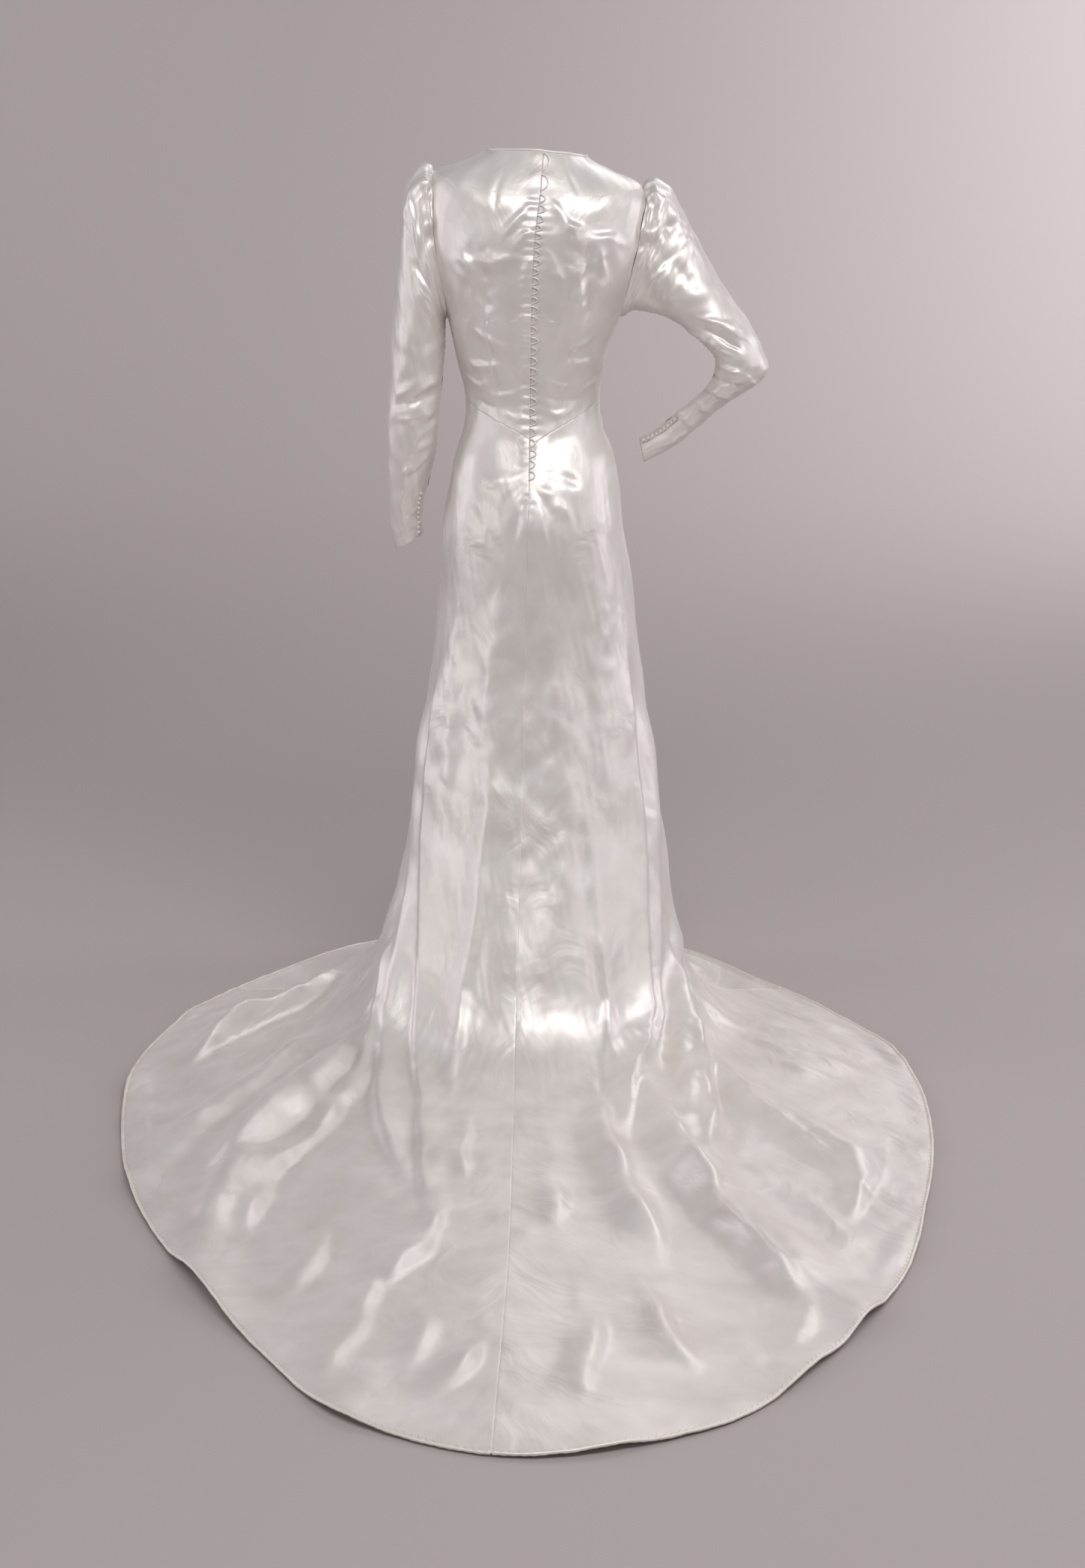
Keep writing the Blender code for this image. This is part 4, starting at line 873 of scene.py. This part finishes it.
def bodice_rows(angle):
    """Row levels of bodice columns, round the armholes and down to the waist seam."""
    top = NECK - EDGE_STEPS
    turns = np.linspace(0, math.pi, ARMHOLE_LEVELS)
    armhole = mix(ARMPIT, SHOULDER_TIP, (1 + np.cos(turns)) / 2)
    fixed = np.concatenate([top, np.linspace(top[-1], SHOULDER_TIP, SHOULDER_LEVELS)[1:-1], armhole])
    shares = edge_shares(ARMPIT - WAIST_SIDE, MIDRIFF_LEVELS)[len(EDGE_STEPS) :]
    above = [np.full_like(angle, level) for level in fixed]
    return np.stack(above + [mix(ARMPIT, waist_level(angle), share) for share in shares])


def skirt_rows(angle):
    """Row levels of skirt columns, from the waist seam down, over the bend and out to the hem."""
    shares = np.append(edge_shares(WAIST_SIDE - HIP, HIP_LEVELS)[: -len(EDGE_STEPS)], 1.0)
    hips = [mix(waist_level(angle), HIP, share) for share in shares]
    hanging_part = np.linspace(HIP, BEND_FROM, HANGING_LEVELS)[1:]
    bend = np.linspace(BEND_FROM, BEND_TO, BEND_LEVELS)[1:]
    floor = np.append(np.linspace(BEND_TO, HEM_LEVELS[0], FLOOR_LEVELS)[1:], HEM_LEVELS[1:])
    return np.stack(hips + [np.full_like(angle, level) for level in (*hanging_part, *bend, *floor)])


def places(name, start_of, end_of, spread=1.0):
    """A panel's grid of angles and levels between its two edges, crowded close along both."""
    rows_of, waist_row = (skirt_rows, 0) if "skirt" in name else (bodice_rows, -1)
    count = PANEL_COLUMNS[name]
    waist = np.array(WAIST_SIDE)
    angle = mix(start_of(waist), end_of(waist), np.linspace(0, 1, count))[None]
    for _ in range(3):
        level = rows_of(angle[waist_row])
        start, end = start_of(level), end_of(level)
        radius = radius_at(mix(start, end, 0.5), level).mean(axis=1)
        shares = edge_shares(np.abs(end - start).mean(axis=1) * radius, count)
        shares = shares ** (1 + (spread - 1) * ease(HIP, 0.0, level))
        angle = mix(start, end, shares)
    return angle, level


def seam_side(level, side, face):
    """The side seam or armhole edge of a back (face -1) or front (face +1) panel on one side."""
    return side * (math.pi / 2 + face * armhole_cut(level))


def panel_places(name):
    """The grid of a panel: a front from seam to seam, a back from the centre to its side seam."""
    if "front" in name:
        right, left = lambda level: seam_side(level, 1, 1), lambda level: math.tau + seam_side(level, -1, 1)
        return places(name, right, left)
    side = -1 if "left" in name else 1
    return places(name, centre_angle, lambda level: seam_side(level, side, -1), TRAIN_SPREAD)


# Finishes
IVORY, IVORY_SHADE = (0.84, 0.80, 0.78), (0.72, 0.675, 0.65)
CREAM, CREAM_SHADE = (0.86, 0.82, 0.77), (0.77, 0.72, 0.66)
THREAD_PERIOD = 0.00032
THREAD_LENGTH = 2.4
WAVE_UNIT = 0.314
GLOSS_DOWN, GLOSS_UP = 0.05, 0.07
SATIN_LOOK = {
    "Metallic": 0.42,
    "IOR": 1.5,
    "Sheen Weight": 0.20,
    "Sheen Roughness": 0.45,
    "Anisotropic": 0.40,
}
# Name, colour, shade, roughness, depth of its crinkles in metres and texture coordinates
FINISH_ROWS = (
    ("satin", IVORY, IVORY_SHADE, 0.40, 0.0038, "UV"),
    ("rouleau", IVORY, IVORY_SHADE, 0.42, 0.0004, "Object"),
    ("covered_button", IVORY, IVORY_SHADE, 0.40, 0.0003, "Object"),
    ("hem_roll", CREAM, CREAM_SHADE, 0.48, 0.0005, "Object"),
)


def node(tree, kind, **values):
    made = tree.nodes.new(kind)
    for name, value in values.items():
        if name in made.inputs:
            made.inputs[name].default_value = value
        else:
            setattr(made, name, value)
    return made


def satin(name, colour, shade, roughness, crinkle, coordinates):
    """Woven satin: threads both ways, a soft cloud of tone, slubs, crinkles and a stretched highlight."""
    material = bpy.data.materials.new(name)
    material.use_nodes = True
    tree = material.node_tree
    shader = tree.nodes["Principled BSDF"]
    where = node(tree, "ShaderNodeTexCoord").outputs[coordinates]

    def texture(kind, stretch, **values):
        place = node(tree, "ShaderNodeMapping", Scale=stretch)
        made = node(tree, kind, **values)
        tree.links.new(where, place.inputs["Vector"])
        tree.links.new(place.outputs["Vector"], made.inputs["Vector"])
        return made

    cloud = texture("ShaderNodeTexNoise", (1, 1, 1), Scale=11.0, Detail=4.0, Roughness=0.55)
    tone = node(tree, "ShaderNodeValToRGB")
    for element, position, tint in zip(tone.color_ramp.elements, (0.30, 0.68), (shade, colour)):
        element.position = position
        element.color = (*tint, 1)
    tree.links.new(cloud.outputs["Fac"], tone.inputs["Fac"])
    tree.links.new(tone.outputs["Color"], shader.inputs["Base Color"])

    slub = texture("ShaderNodeTexNoise", (900, 24, 24), Scale=1.0, Detail=2.0)
    gloss = node(tree, "ShaderNodeMapRange")
    gloss.inputs["To Min"].default_value = roughness - GLOSS_DOWN
    gloss.inputs["To Max"].default_value = roughness + GLOSS_UP
    tree.links.new(slub.outputs["Fac"], gloss.inputs["Value"])
    tree.links.new(gloss.outputs["Result"], shader.inputs["Roughness"])

    threads = WAVE_UNIT / THREAD_PERIOD
    warp = texture("ShaderNodeTexWave", (1, 1, 1), Scale=threads, bands_direction="X")
    weft = texture("ShaderNodeTexWave", (1, 1, 1), Scale=threads / THREAD_LENGTH, bands_direction="Y")
    weave = node(tree, "ShaderNodeMath", operation="MULTIPLY")
    tree.links.new(warp.outputs["Fac"], weave.inputs[0])
    tree.links.new(weft.outputs["Fac"], weave.inputs[1])

    noise = "ShaderNodeTexNoise"
    rumple = texture(noise, (1, 0.62, 1), Scale=13.0, Detail=3.4, Roughness=0.46, Distortion=0.9)
    sharp = {"noise_type": "RIDGED_MULTIFRACTAL", "Detail": 1.0, "Roughness": 0.5, "Distortion": 0.5}
    crease = texture(noise, (1, 0.55, 1), Scale=15.0, **sharp)

    normal = None
    for height, depth, strength in (
        (rumple.outputs["Fac"], crinkle, 1.0),
        (crease.outputs["Fac"], crinkle / 6, 1.0),
        (slub.outputs["Fac"], 0.0001, 0.8),
        (weave.outputs["Value"], 0.00003, 0.5),
    ):
        bump = node(tree, "ShaderNodeBump", Strength=strength, Distance=depth)
        tree.links.new(height, bump.inputs["Height"])
        if normal:
            tree.links.new(normal, bump.inputs["Normal"])
        normal = bump.outputs["Normal"]
    tree.links.new(normal, shader.inputs["Normal"])
    for socket, value in SATIN_LOOK.items():
        shader.inputs[socket].default_value = value
    return material


# Sleeves
SLEEVE_GRID = (120, 190)
SLEEVE_SPAN = (0.25, 0.6)
GATHER_COUNT = 24
FINE_GATHER = 0.0026
INNER_RELIEF = 0.85
INNER_SHIFT = (0.1, 0.25)
BACK_REACH = -2.6
ARM_SEAM_PUCKER, ARM_SEAM_WIDTH = 0.0007, 0.007
SLEEVE_WAVE, SLEEVE_WAVE_PITCH = 0.0008, 0.011
CUFF_TURNING = 0.0006


def sleeve_cloth(sleeve, rows, turn, station):
    """A point of a sleeve's outer face, with its gathers and creases on both sides of the arm."""
    turn, station = np.broadcast_arrays(np.asarray(turn, float), np.asarray(station, float))
    low = math.pi + 0.4
    here = np.stack([(turn + low) % math.tau - low, station], axis=-1)
    lift = sleeve.gathers(turn, station) + chart_lift(here, rows, SLEEVE_PITCH, SLEEVE_SCALE)
    mirrored = np.stack([-wrapped(turn - INNER_SHIFT[0]), station - INNER_SHIFT[1]], axis=-1)
    outer_rows = [row for row in rows if BACK_REACH < min(turn for turn, _ in row[3])]
    lift += INNER_RELIEF * chart_lift(mirrored, outer_rows, SLEEVE_PITCH, SLEEVE_SCALE)
    window = ease(0.0, 0.4, station) * ease(2.6, 0.5, station) * ease(-0.4, 0.3, np.cos(turn))
    lift += FINE_GATHER * np.sin(GATHER_COUNT * turn + 2.1 * np.sin(3 * turn)) * window
    seam = np.abs(wrapped(turn - math.pi)) * SLEEVE_SCALE[0]
    lift += ARM_SEAM_PUCKER * np.sin(station * 21) * bell(seam, ARM_SEAM_WIDTH)
    lift += CUFF_TURNING * ease(sleeve.last - 0.30, sleeve.last - 0.22, station)
    lift += SLEEVE_WAVE * waves(turn * 0.05, station * 0.05, SLEEVE_WAVE_PITCH) * ease(0.0, 0.5, station)
    return sleeve.plain(turn, station) + sleeve.outward(sleeve.plain, turn, station) * lift[..., None]


# Trims
LOOP_POINTS = 17
LOOP_SINK = 0.0012
WRIST_STATIONS = {"left": (10.3, 11.95), "right": (13.1, 14.95)}
WRIST_POINTS = 40
WRIST_LOOP_RADIUS = 0.0005
DOME_SIDES = 16
DOME_CLIMBS = (-25, 5, 30, 52, 72, 86)
HEM_POINTS = {"front": 300, "back_left": 420, "back_right": 420}
HEM_ROLL = 0.0024
ROLL_SIDES = 10
HEM_STITCH, STITCH_LEAN, STITCH_DEPTH = 0.010, 0.004, 0.006
STITCH_RADIUS = 0.0003


def beside(level, across, lift):
    """Places beside the centre-back line, lifted off the cloth."""
    level, across, lift = np.broadcast_arrays(level, across, lift)
    angle = centre_angle(level) + across / radius_at(0.0, level)
    return dress(angle, level) + normal_of(smooth_cloth, angle, level) * lift[..., None]


def edge_cord(angles, level, beyond, radius):
    """The middle of a cord that follows an edge of the cloth, just past it."""
    levels = np.full(len(angles), level)
    edge, normal = dress(angles, levels), normal_of(smooth_cloth, angles, levels)
    along = np.gradient(edge, axis=0) * np.sign(angles[-1] - angles[0])
    away = unit(np.cross(normal, along)) * beyond
    return edge - normal * SHELL / 2 + away * (radius - SHELL)


def read_along(marks, run, vectors):
    """Vectors at marks along a line that has one at each place of its run."""
    return np.stack([np.interp(marks, run, vectors[:, axis]) for axis in range(3)], axis=1)


def add_cords(name, routes, radius, material, resolution=2):
    """Cords of one radius, one for each route of points."""
    curve = bpy.data.curves.new(name, "CURVE")
    curve.dimensions = "3D"
    curve.bevel_depth = radius
    curve.bevel_resolution = resolution
    curve.use_fill_caps = True
    for route in routes:
        spline = curve.splines.new("POLY")
        spline.points.add(len(route) - 1)
        spline.points.foreach_set("co", np.column_stack([route, np.ones(len(route))]).ravel())
        spline.use_smooth = True
    item = bpy.data.objects.new(name, curve)
    item.data.materials.append(material)
    bpy.context.collection.objects.link(item)
    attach(item, "root")
    return item


def dome(middle, out, radius, height):
    """Rings of points of a covered button standing on its place."""
    out = unit(out)
    first = unit(np.cross(out, (0.3, 0.2, 0.93)))
    second = np.cross(out, first)
    turns = np.linspace(0, math.tau, DOME_SIDES + 1)[:-1, None]
    rings = []
    for climb in np.radians(DOME_CLIMBS):
        ring = radius * math.cos(climb) * (np.cos(turns) * first + np.sin(turns) * second)
        rings.append(middle + ring + out * height * (0.42 + 0.58 * math.sin(climb)))
    return np.array(rings)


def add_buttons(name, strip, buttons):
    """A strip of cloth with its row of covered buttons, as one piece."""
    points, faces = [strip.reshape(-1, 3)], [grid_faces(*strip.shape[:2])]
    count = len(points[0])
    for button in buttons:
        rows, columns = button.shape[:2]
        points.append(button.reshape(-1, 3))
        faces.append(grid_faces(rows, columns, closed=True)[:, ::-1] + count)
        cap = np.arange(columns) + count + (rows - 1) * columns
        faces.append(np.stack([cap[0::4], cap[1::4], cap[2::4], cap[3::4]], axis=-1))
        faces.append(np.array([[cap[0], cap[3], cap[7], cap[11]]]))
        count += rows * columns
    points = np.concatenate(points)
    item = add_mesh(name + "_cloth", points, np.concatenate(faces), points[:, :2])
    item.data.materials.append(finishes["covered_button"])
    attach(item, "root")
    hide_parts(name)
    return item


def placket_loops():
    """Routes of the button loops, uneven in reach and rise."""
    reaches, rises = np.array(LOOP_SHAPE).T
    steps = np.linspace(0, 1, LOOP_POINTS)
    knots = np.linspace(0, 1, len(reaches))
    bow = np.sin(math.pi * steps)
    lift = LOOP_RADIUS * (1.0 + 0.6 * bow) - LOOP_SINK * (1 - bow) ** 4
    routes = []
    for i, level in enumerate(np.linspace(PLACKET_TOP, PLACKET_END, LOOP_COUNT)):
        reach = LOOP_REACH * (1 + 0.12 * math.sin(2.3 * i)) * np.interp(steps, knots, reaches)
        rise = LOOP_HALF * (1 + 0.08 * math.sin(1.7 * i + 1)) * np.interp(steps, knots, rises)
        routes.append(beside(level + rise, reach, lift))
    return routes


def add_stand():
    """The underlap with its buttons, below the edge that carries the loops."""
    low = WALL + 4 * SEAM_GAP
    deep = low + BUTTON_HEIGHT
    section = np.array(((-STAND_WIDTH, -deep), (-STAND_WIDTH / 2, -deep), (0.0, -deep), (STAND_PAST, -low)))
    rows = np.linspace(PLACKET_TOP + STAND_PAST, PLACKET_END - 2 * STAND_PAST, 160)[:, None]
    levels = np.linspace(PLACKET_TOP, PLACKET_END, LOOP_COUNT)
    middles, tops = beside(levels, -STAND_WIDTH / 2, -deep), beside(levels, -STAND_WIDTH / 2, -low)
    buttons = [dome(m, t - m, BUTTON_RADIUS, BUTTON_HEIGHT) for m, t in zip(middles, tops)]
    return add_buttons("button_stand", beside(rows, *section.T), buttons)


def add_wrist(hand, sleeve, rows):
    """A wrist opening's strip of small buttons and the loops over them."""
    span = np.linspace(*WRIST_STATIONS[hand], WRIST_POINTS)
    turns = np.full(len(span), CUFF_STRIP_TURN)
    middle = sleeve_cloth(sleeve, rows, turns, span)
    out = sleeve.outward(sleeve.plain, turns, span)
    forward = unit(np.gradient(middle, axis=0))
    across = unit(np.cross(forward, out))
    half = CUFF_STRIP_WIDTH / 2
    offsets = np.array((-half, -half * 0.9, 0, half * 0.9, half))[:, None]
    lifts = np.array((0.0002, STRIP_WALL, 1.2 * STRIP_WALL, STRIP_WALL, 0.0002))[:, None]
    strip = middle[:, None] + across[:, None] * offsets + out[:, None] * lifts
    run = run_along(middle)
    inset = half + CUFF_STRIP_END
    marks = np.linspace(run[0] + inset, run[-1] - inset, CUFF_BUTTONS)
    places_on_strip = [read_along(marks, run, vectors) for vectors in (middle, out, across, forward)]
    buttons, routes = [], []
    bow = np.linspace(-math.pi / 2, math.pi / 2, 11)[:, None]
    for c, o, s, a in zip(*places_on_strip):
        buttons.append(dome(c + o * STRIP_WALL, o, CUFF_BUTTON_RADIUS, CUFF_BUTTON_HEIGHT))
        ring = CUFF_BUTTON_RADIUS * (1.15 * np.cos(bow) * s + 1.05 * np.sin(bow) * a)
        routes.append(c + ring + o * (STRIP_WALL + 0.0007) - s * 0.0004)
    wrist = add_buttons("wrist_buttons_" + hand, strip, buttons)
    return wrist, add_cords("wrist_loops_" + hand, routes, WRIST_LOOP_RADIUS, finishes["rouleau"], 1)


def add_roll(name, route, normal, run):
    """A rolled hem of uneven thickness along a route, closed to a blunt end on both sides."""
    along = unit(np.gradient(route, axis=0))
    across = unit(np.cross(along, normal))
    up = np.cross(across, along)
    uneven = 1 + 0.10 * np.sin(run * 520) + 0.08 * np.sin(run * 151)
    to_end = np.clip(np.minimum(run, run[-1] - run) / HEM_ROLL, 0, 1)
    radii = HEM_ROLL * uneven * np.sqrt(np.maximum(1 - (1 - to_end) ** 2, 0.001))
    turns = np.linspace(0, math.tau, ROLL_SIDES + 1)[:-1, None]
    around = np.cos(turns) * up[:, None] + np.sin(turns) * across[:, None]
    points = route[:, None] + radii[:, None, None] * around
    uv = np.stack(np.broadcast_arrays(turns[:, 0] * HEM_ROLL, run[:, None]), axis=-1)
    faces = grid_faces(len(route), ROLL_SIDES, closed=True)[:, ::-1]
    item = add_mesh(name + "_cloth", points, faces, uv)
    item.data.materials.append(finishes["hem_roll"])
    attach(item, "root")
    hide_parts(name)
    return item


def add_hem(part, first, last):
    """The rolled hem of a skirt panel and its stitches."""
    ends = np.array((0.0001, 0.0004, 0.0010))
    shares = np.sort(np.concatenate([ends, 1 - ends, np.linspace(0, 1, HEM_POINTS[part])]))
    angles = mix(first, last, shares ** (TRAIN_SPREAD if "back" in part else 1))
    cord = edge_cord(angles, -1.0, -1, HEM_ROLL)
    run = run_along(cord)
    hem = add_roll("hem_" + part, cord, normal_of(smooth_cloth, angles, np.full(len(angles), -1.0)), run)
    marks = np.arange(HEM_STITCH, run[-1] - HEM_STITCH, HEM_STITCH)
    spots, lean = np.interp(marks, run, angles), np.interp(marks + STITCH_LEAN, run, angles)
    inner = dress(lean, np.full(len(spots), -1.0) + STITCH_DEPTH)
    normal = normal_of(smooth_cloth, spots, np.full(len(spots), -1.0))
    routes = []
    for c, i, n in zip(read_along(marks, run, cord), inner, normal):
        over, down = c + n * HEM_RADIUS * 0.95, mix(c, i, 0.55) + n * HEM_RADIUS * 0.55
        routes.append(np.array((over, down, i + n * STITCH_RADIUS)))
    stitches = add_cords("hem_stitches_" + part, routes, STITCH_RADIUS, finishes["hem_roll"], 0)
    return hem, stitches


# Studio: a floor that curves up into a wall, and area lights by place, aim, size, power and colour
FLOOR_LEVEL = -SHOULDER_HEIGHT
STUDIO = (0.445, 0.402, 0.398)
STUDIO_REACH = 12.0
WALL_AT = 8.0
BEND_RADIUS = 3.0
WHITE, PALE = (1.0, 1.0, 1.0), (1.0, 0.97, 1.0)
LIGHT_ROWS = (
    ("key", (0.8, -3.1, 2.3), (0.0, -0.2, -0.3), (3.4, 1.2), 84, WHITE),
    ("front_right", (3.6, -2.9, 0.1), (0.0, -0.3, -0.4), (1.0, 1.6), 12, WHITE),
    ("front_left", (-3.6, -2.9, 0.0), (0.0, -0.3, -0.4), (1.0, 1.6), 20, WHITE),
    ("side_right", (2.8, 0.2, 0.2), (0.0, -0.3, -0.5), (0.8, 2.0), 18, PALE),
    ("side_left", (-2.8, 0.2, 0.1), (0.0, -0.3, -0.5), (0.8, 2.0), 14, PALE),
    ("floor_behind", (2.4, 3.0, 3.2), (1.6, 2.0, -1.4), (3.0, 2.0), 62, WHITE),
    ("wall_right", (4.2, 4.6, 2.4), (2.6, 8.0, 0.6), (1.6, 1.6), 200, WHITE),
    ("wall_left", (-3.5, 4.6, 2.4), (-2.0, 8.0, 0.6), (1.6, 1.6), 50, WHITE),
)
AIR, AIR_STRENGTH = (1.0, 0.97, 0.97), 0.30
CAMERA_PLACE = (0.013, -4.0, 0.06)
CAMERA_TILT = math.radians(74.5)
CAMERA_LENS = 53.77


def add_studio():
    turn = np.radians(np.linspace(0, 90, 25))
    bend = np.column_stack([np.sin(turn), 1 - np.cos(turn)]) * BEND_RADIUS
    bend += (WALL_AT - BEND_RADIUS, FLOOR_LEVEL)
    profile = np.concatenate([[(-STUDIO_REACH, FLOOR_LEVEL)], bend, [(WALL_AT, STUDIO_REACH)]])
    points = np.array([[(x, y, z) for x in (-STUDIO_REACH, 0.0, STUDIO_REACH)] for y, z in profile])
    item = add_mesh("studio", points, grid_faces(*points.shape[:2])[:, ::-1], points[..., :2])
    material = bpy.data.materials.new("studio")
    material.use_nodes = True
    shader = material.node_tree.nodes["Principled BSDF"]
    shader.inputs["Base Color"].default_value = (*STUDIO, 1)
    shader.inputs["Roughness"].default_value = 0.85
    shader.inputs["Specular IOR Level"].default_value = 0.2
    item.data.materials.append(material)


def add_light(name, place, aim, size, power, colour):
    light = bpy.data.lights.new(name, "AREA")
    light.shape = "RECTANGLE"
    light.size, light.size_y = size
    light.energy = power
    light.color = colour
    item = bpy.data.objects.new(name, light)
    item.location = place
    item.rotation_euler = (Vector(aim) - Vector(place)).to_track_quat("-Z", "Y").to_euler()
    bpy.context.collection.objects.link(item)


# The dress: panels, sleeves and trims
finishes = {row[0]: satin(*row) for row in FINISH_ROWS}
shells = {}
for name in PANEL_COLUMNS:
    grid = panel_places(name)
    shells[name] = add_shell(name, dress(*grid), normal_of(smooth_cloth, *grid), finishes["satin"])
    if "left" in name:
        shells[name].data.flip_normals()

sleeves = {
    "left": (Sleeve(-1, SLEEVE_LEFT), LEFT_CREASE_ROWS),
    "right": (Sleeve(1, SLEEVE_RIGHT), RIGHT_CREASE_ROWS),
}
for hand, (sleeve, rows) in sleeves.items():
    turns = mix(-math.pi, math.pi, edge_shares(SLEEVE_SPAN[0], SLEEVE_GRID[0]))
    stations = mix(0, sleeve.last, edge_shares(SLEEVE_SPAN[1], SLEEVE_GRID[1]))
    grid = np.meshgrid(turns, stations)
    points = sleeve_cloth(sleeve, rows, *grid)
    name = "sleeve_" + hand
    shells[name] = add_shell(name, points, sleeve.outward(sleeve.plain, *grid), finishes["satin"])

start = float(centre_angle(NECK))
neck_route = edge_cord(np.linspace(start, math.tau + start, 260), NECK, 1, BINDING_RADIUS)
binding = add_cords("neck_binding_cloth", [neck_route], BINDING_RADIUS, finishes["rouleau"], 3)
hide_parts("neck_binding")
loops = add_cords("button_loops_cloth", placket_loops(), LOOP_RADIUS, finishes["rouleau"])
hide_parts("button_loops")
stand = add_stand()
wrists = {hand: add_wrist(hand, *made) for hand, made in sleeves.items()}
hem_start = float(centre_angle(-1.0))
hems = {
    "front": add_hem("front", math.pi / 2, 1.5 * math.pi),
    "back_right": add_hem("back_right", hem_start, math.pi / 2),
    "back_left": add_hem("back_left", hem_start, -math.pi / 2),
}

# Floor and wall, light and camera
add_studio()
for row in LIGHT_ROWS:
    add_light(*row)

world = bpy.data.worlds.new("studio_air")
world.use_nodes = True
world.node_tree.nodes["Background"].inputs["Color"].default_value = (*AIR, 1)
world.node_tree.nodes["Background"].inputs["Strength"].default_value = AIR_STRENGTH
bpy.context.scene.world = world
bpy.context.scene.view_settings.view_transform = "Standard"

camera_data = bpy.data.cameras.new("camera")
camera_data.lens = CAMERA_LENS
camera = bpy.data.objects.new("camera", camera_data)
camera.location = CAMERA_PLACE
camera.rotation_euler = (CAMERA_TILT, 0, 0)
bpy.context.collection.objects.link(camera)
bpy.context.scene.camera = camera
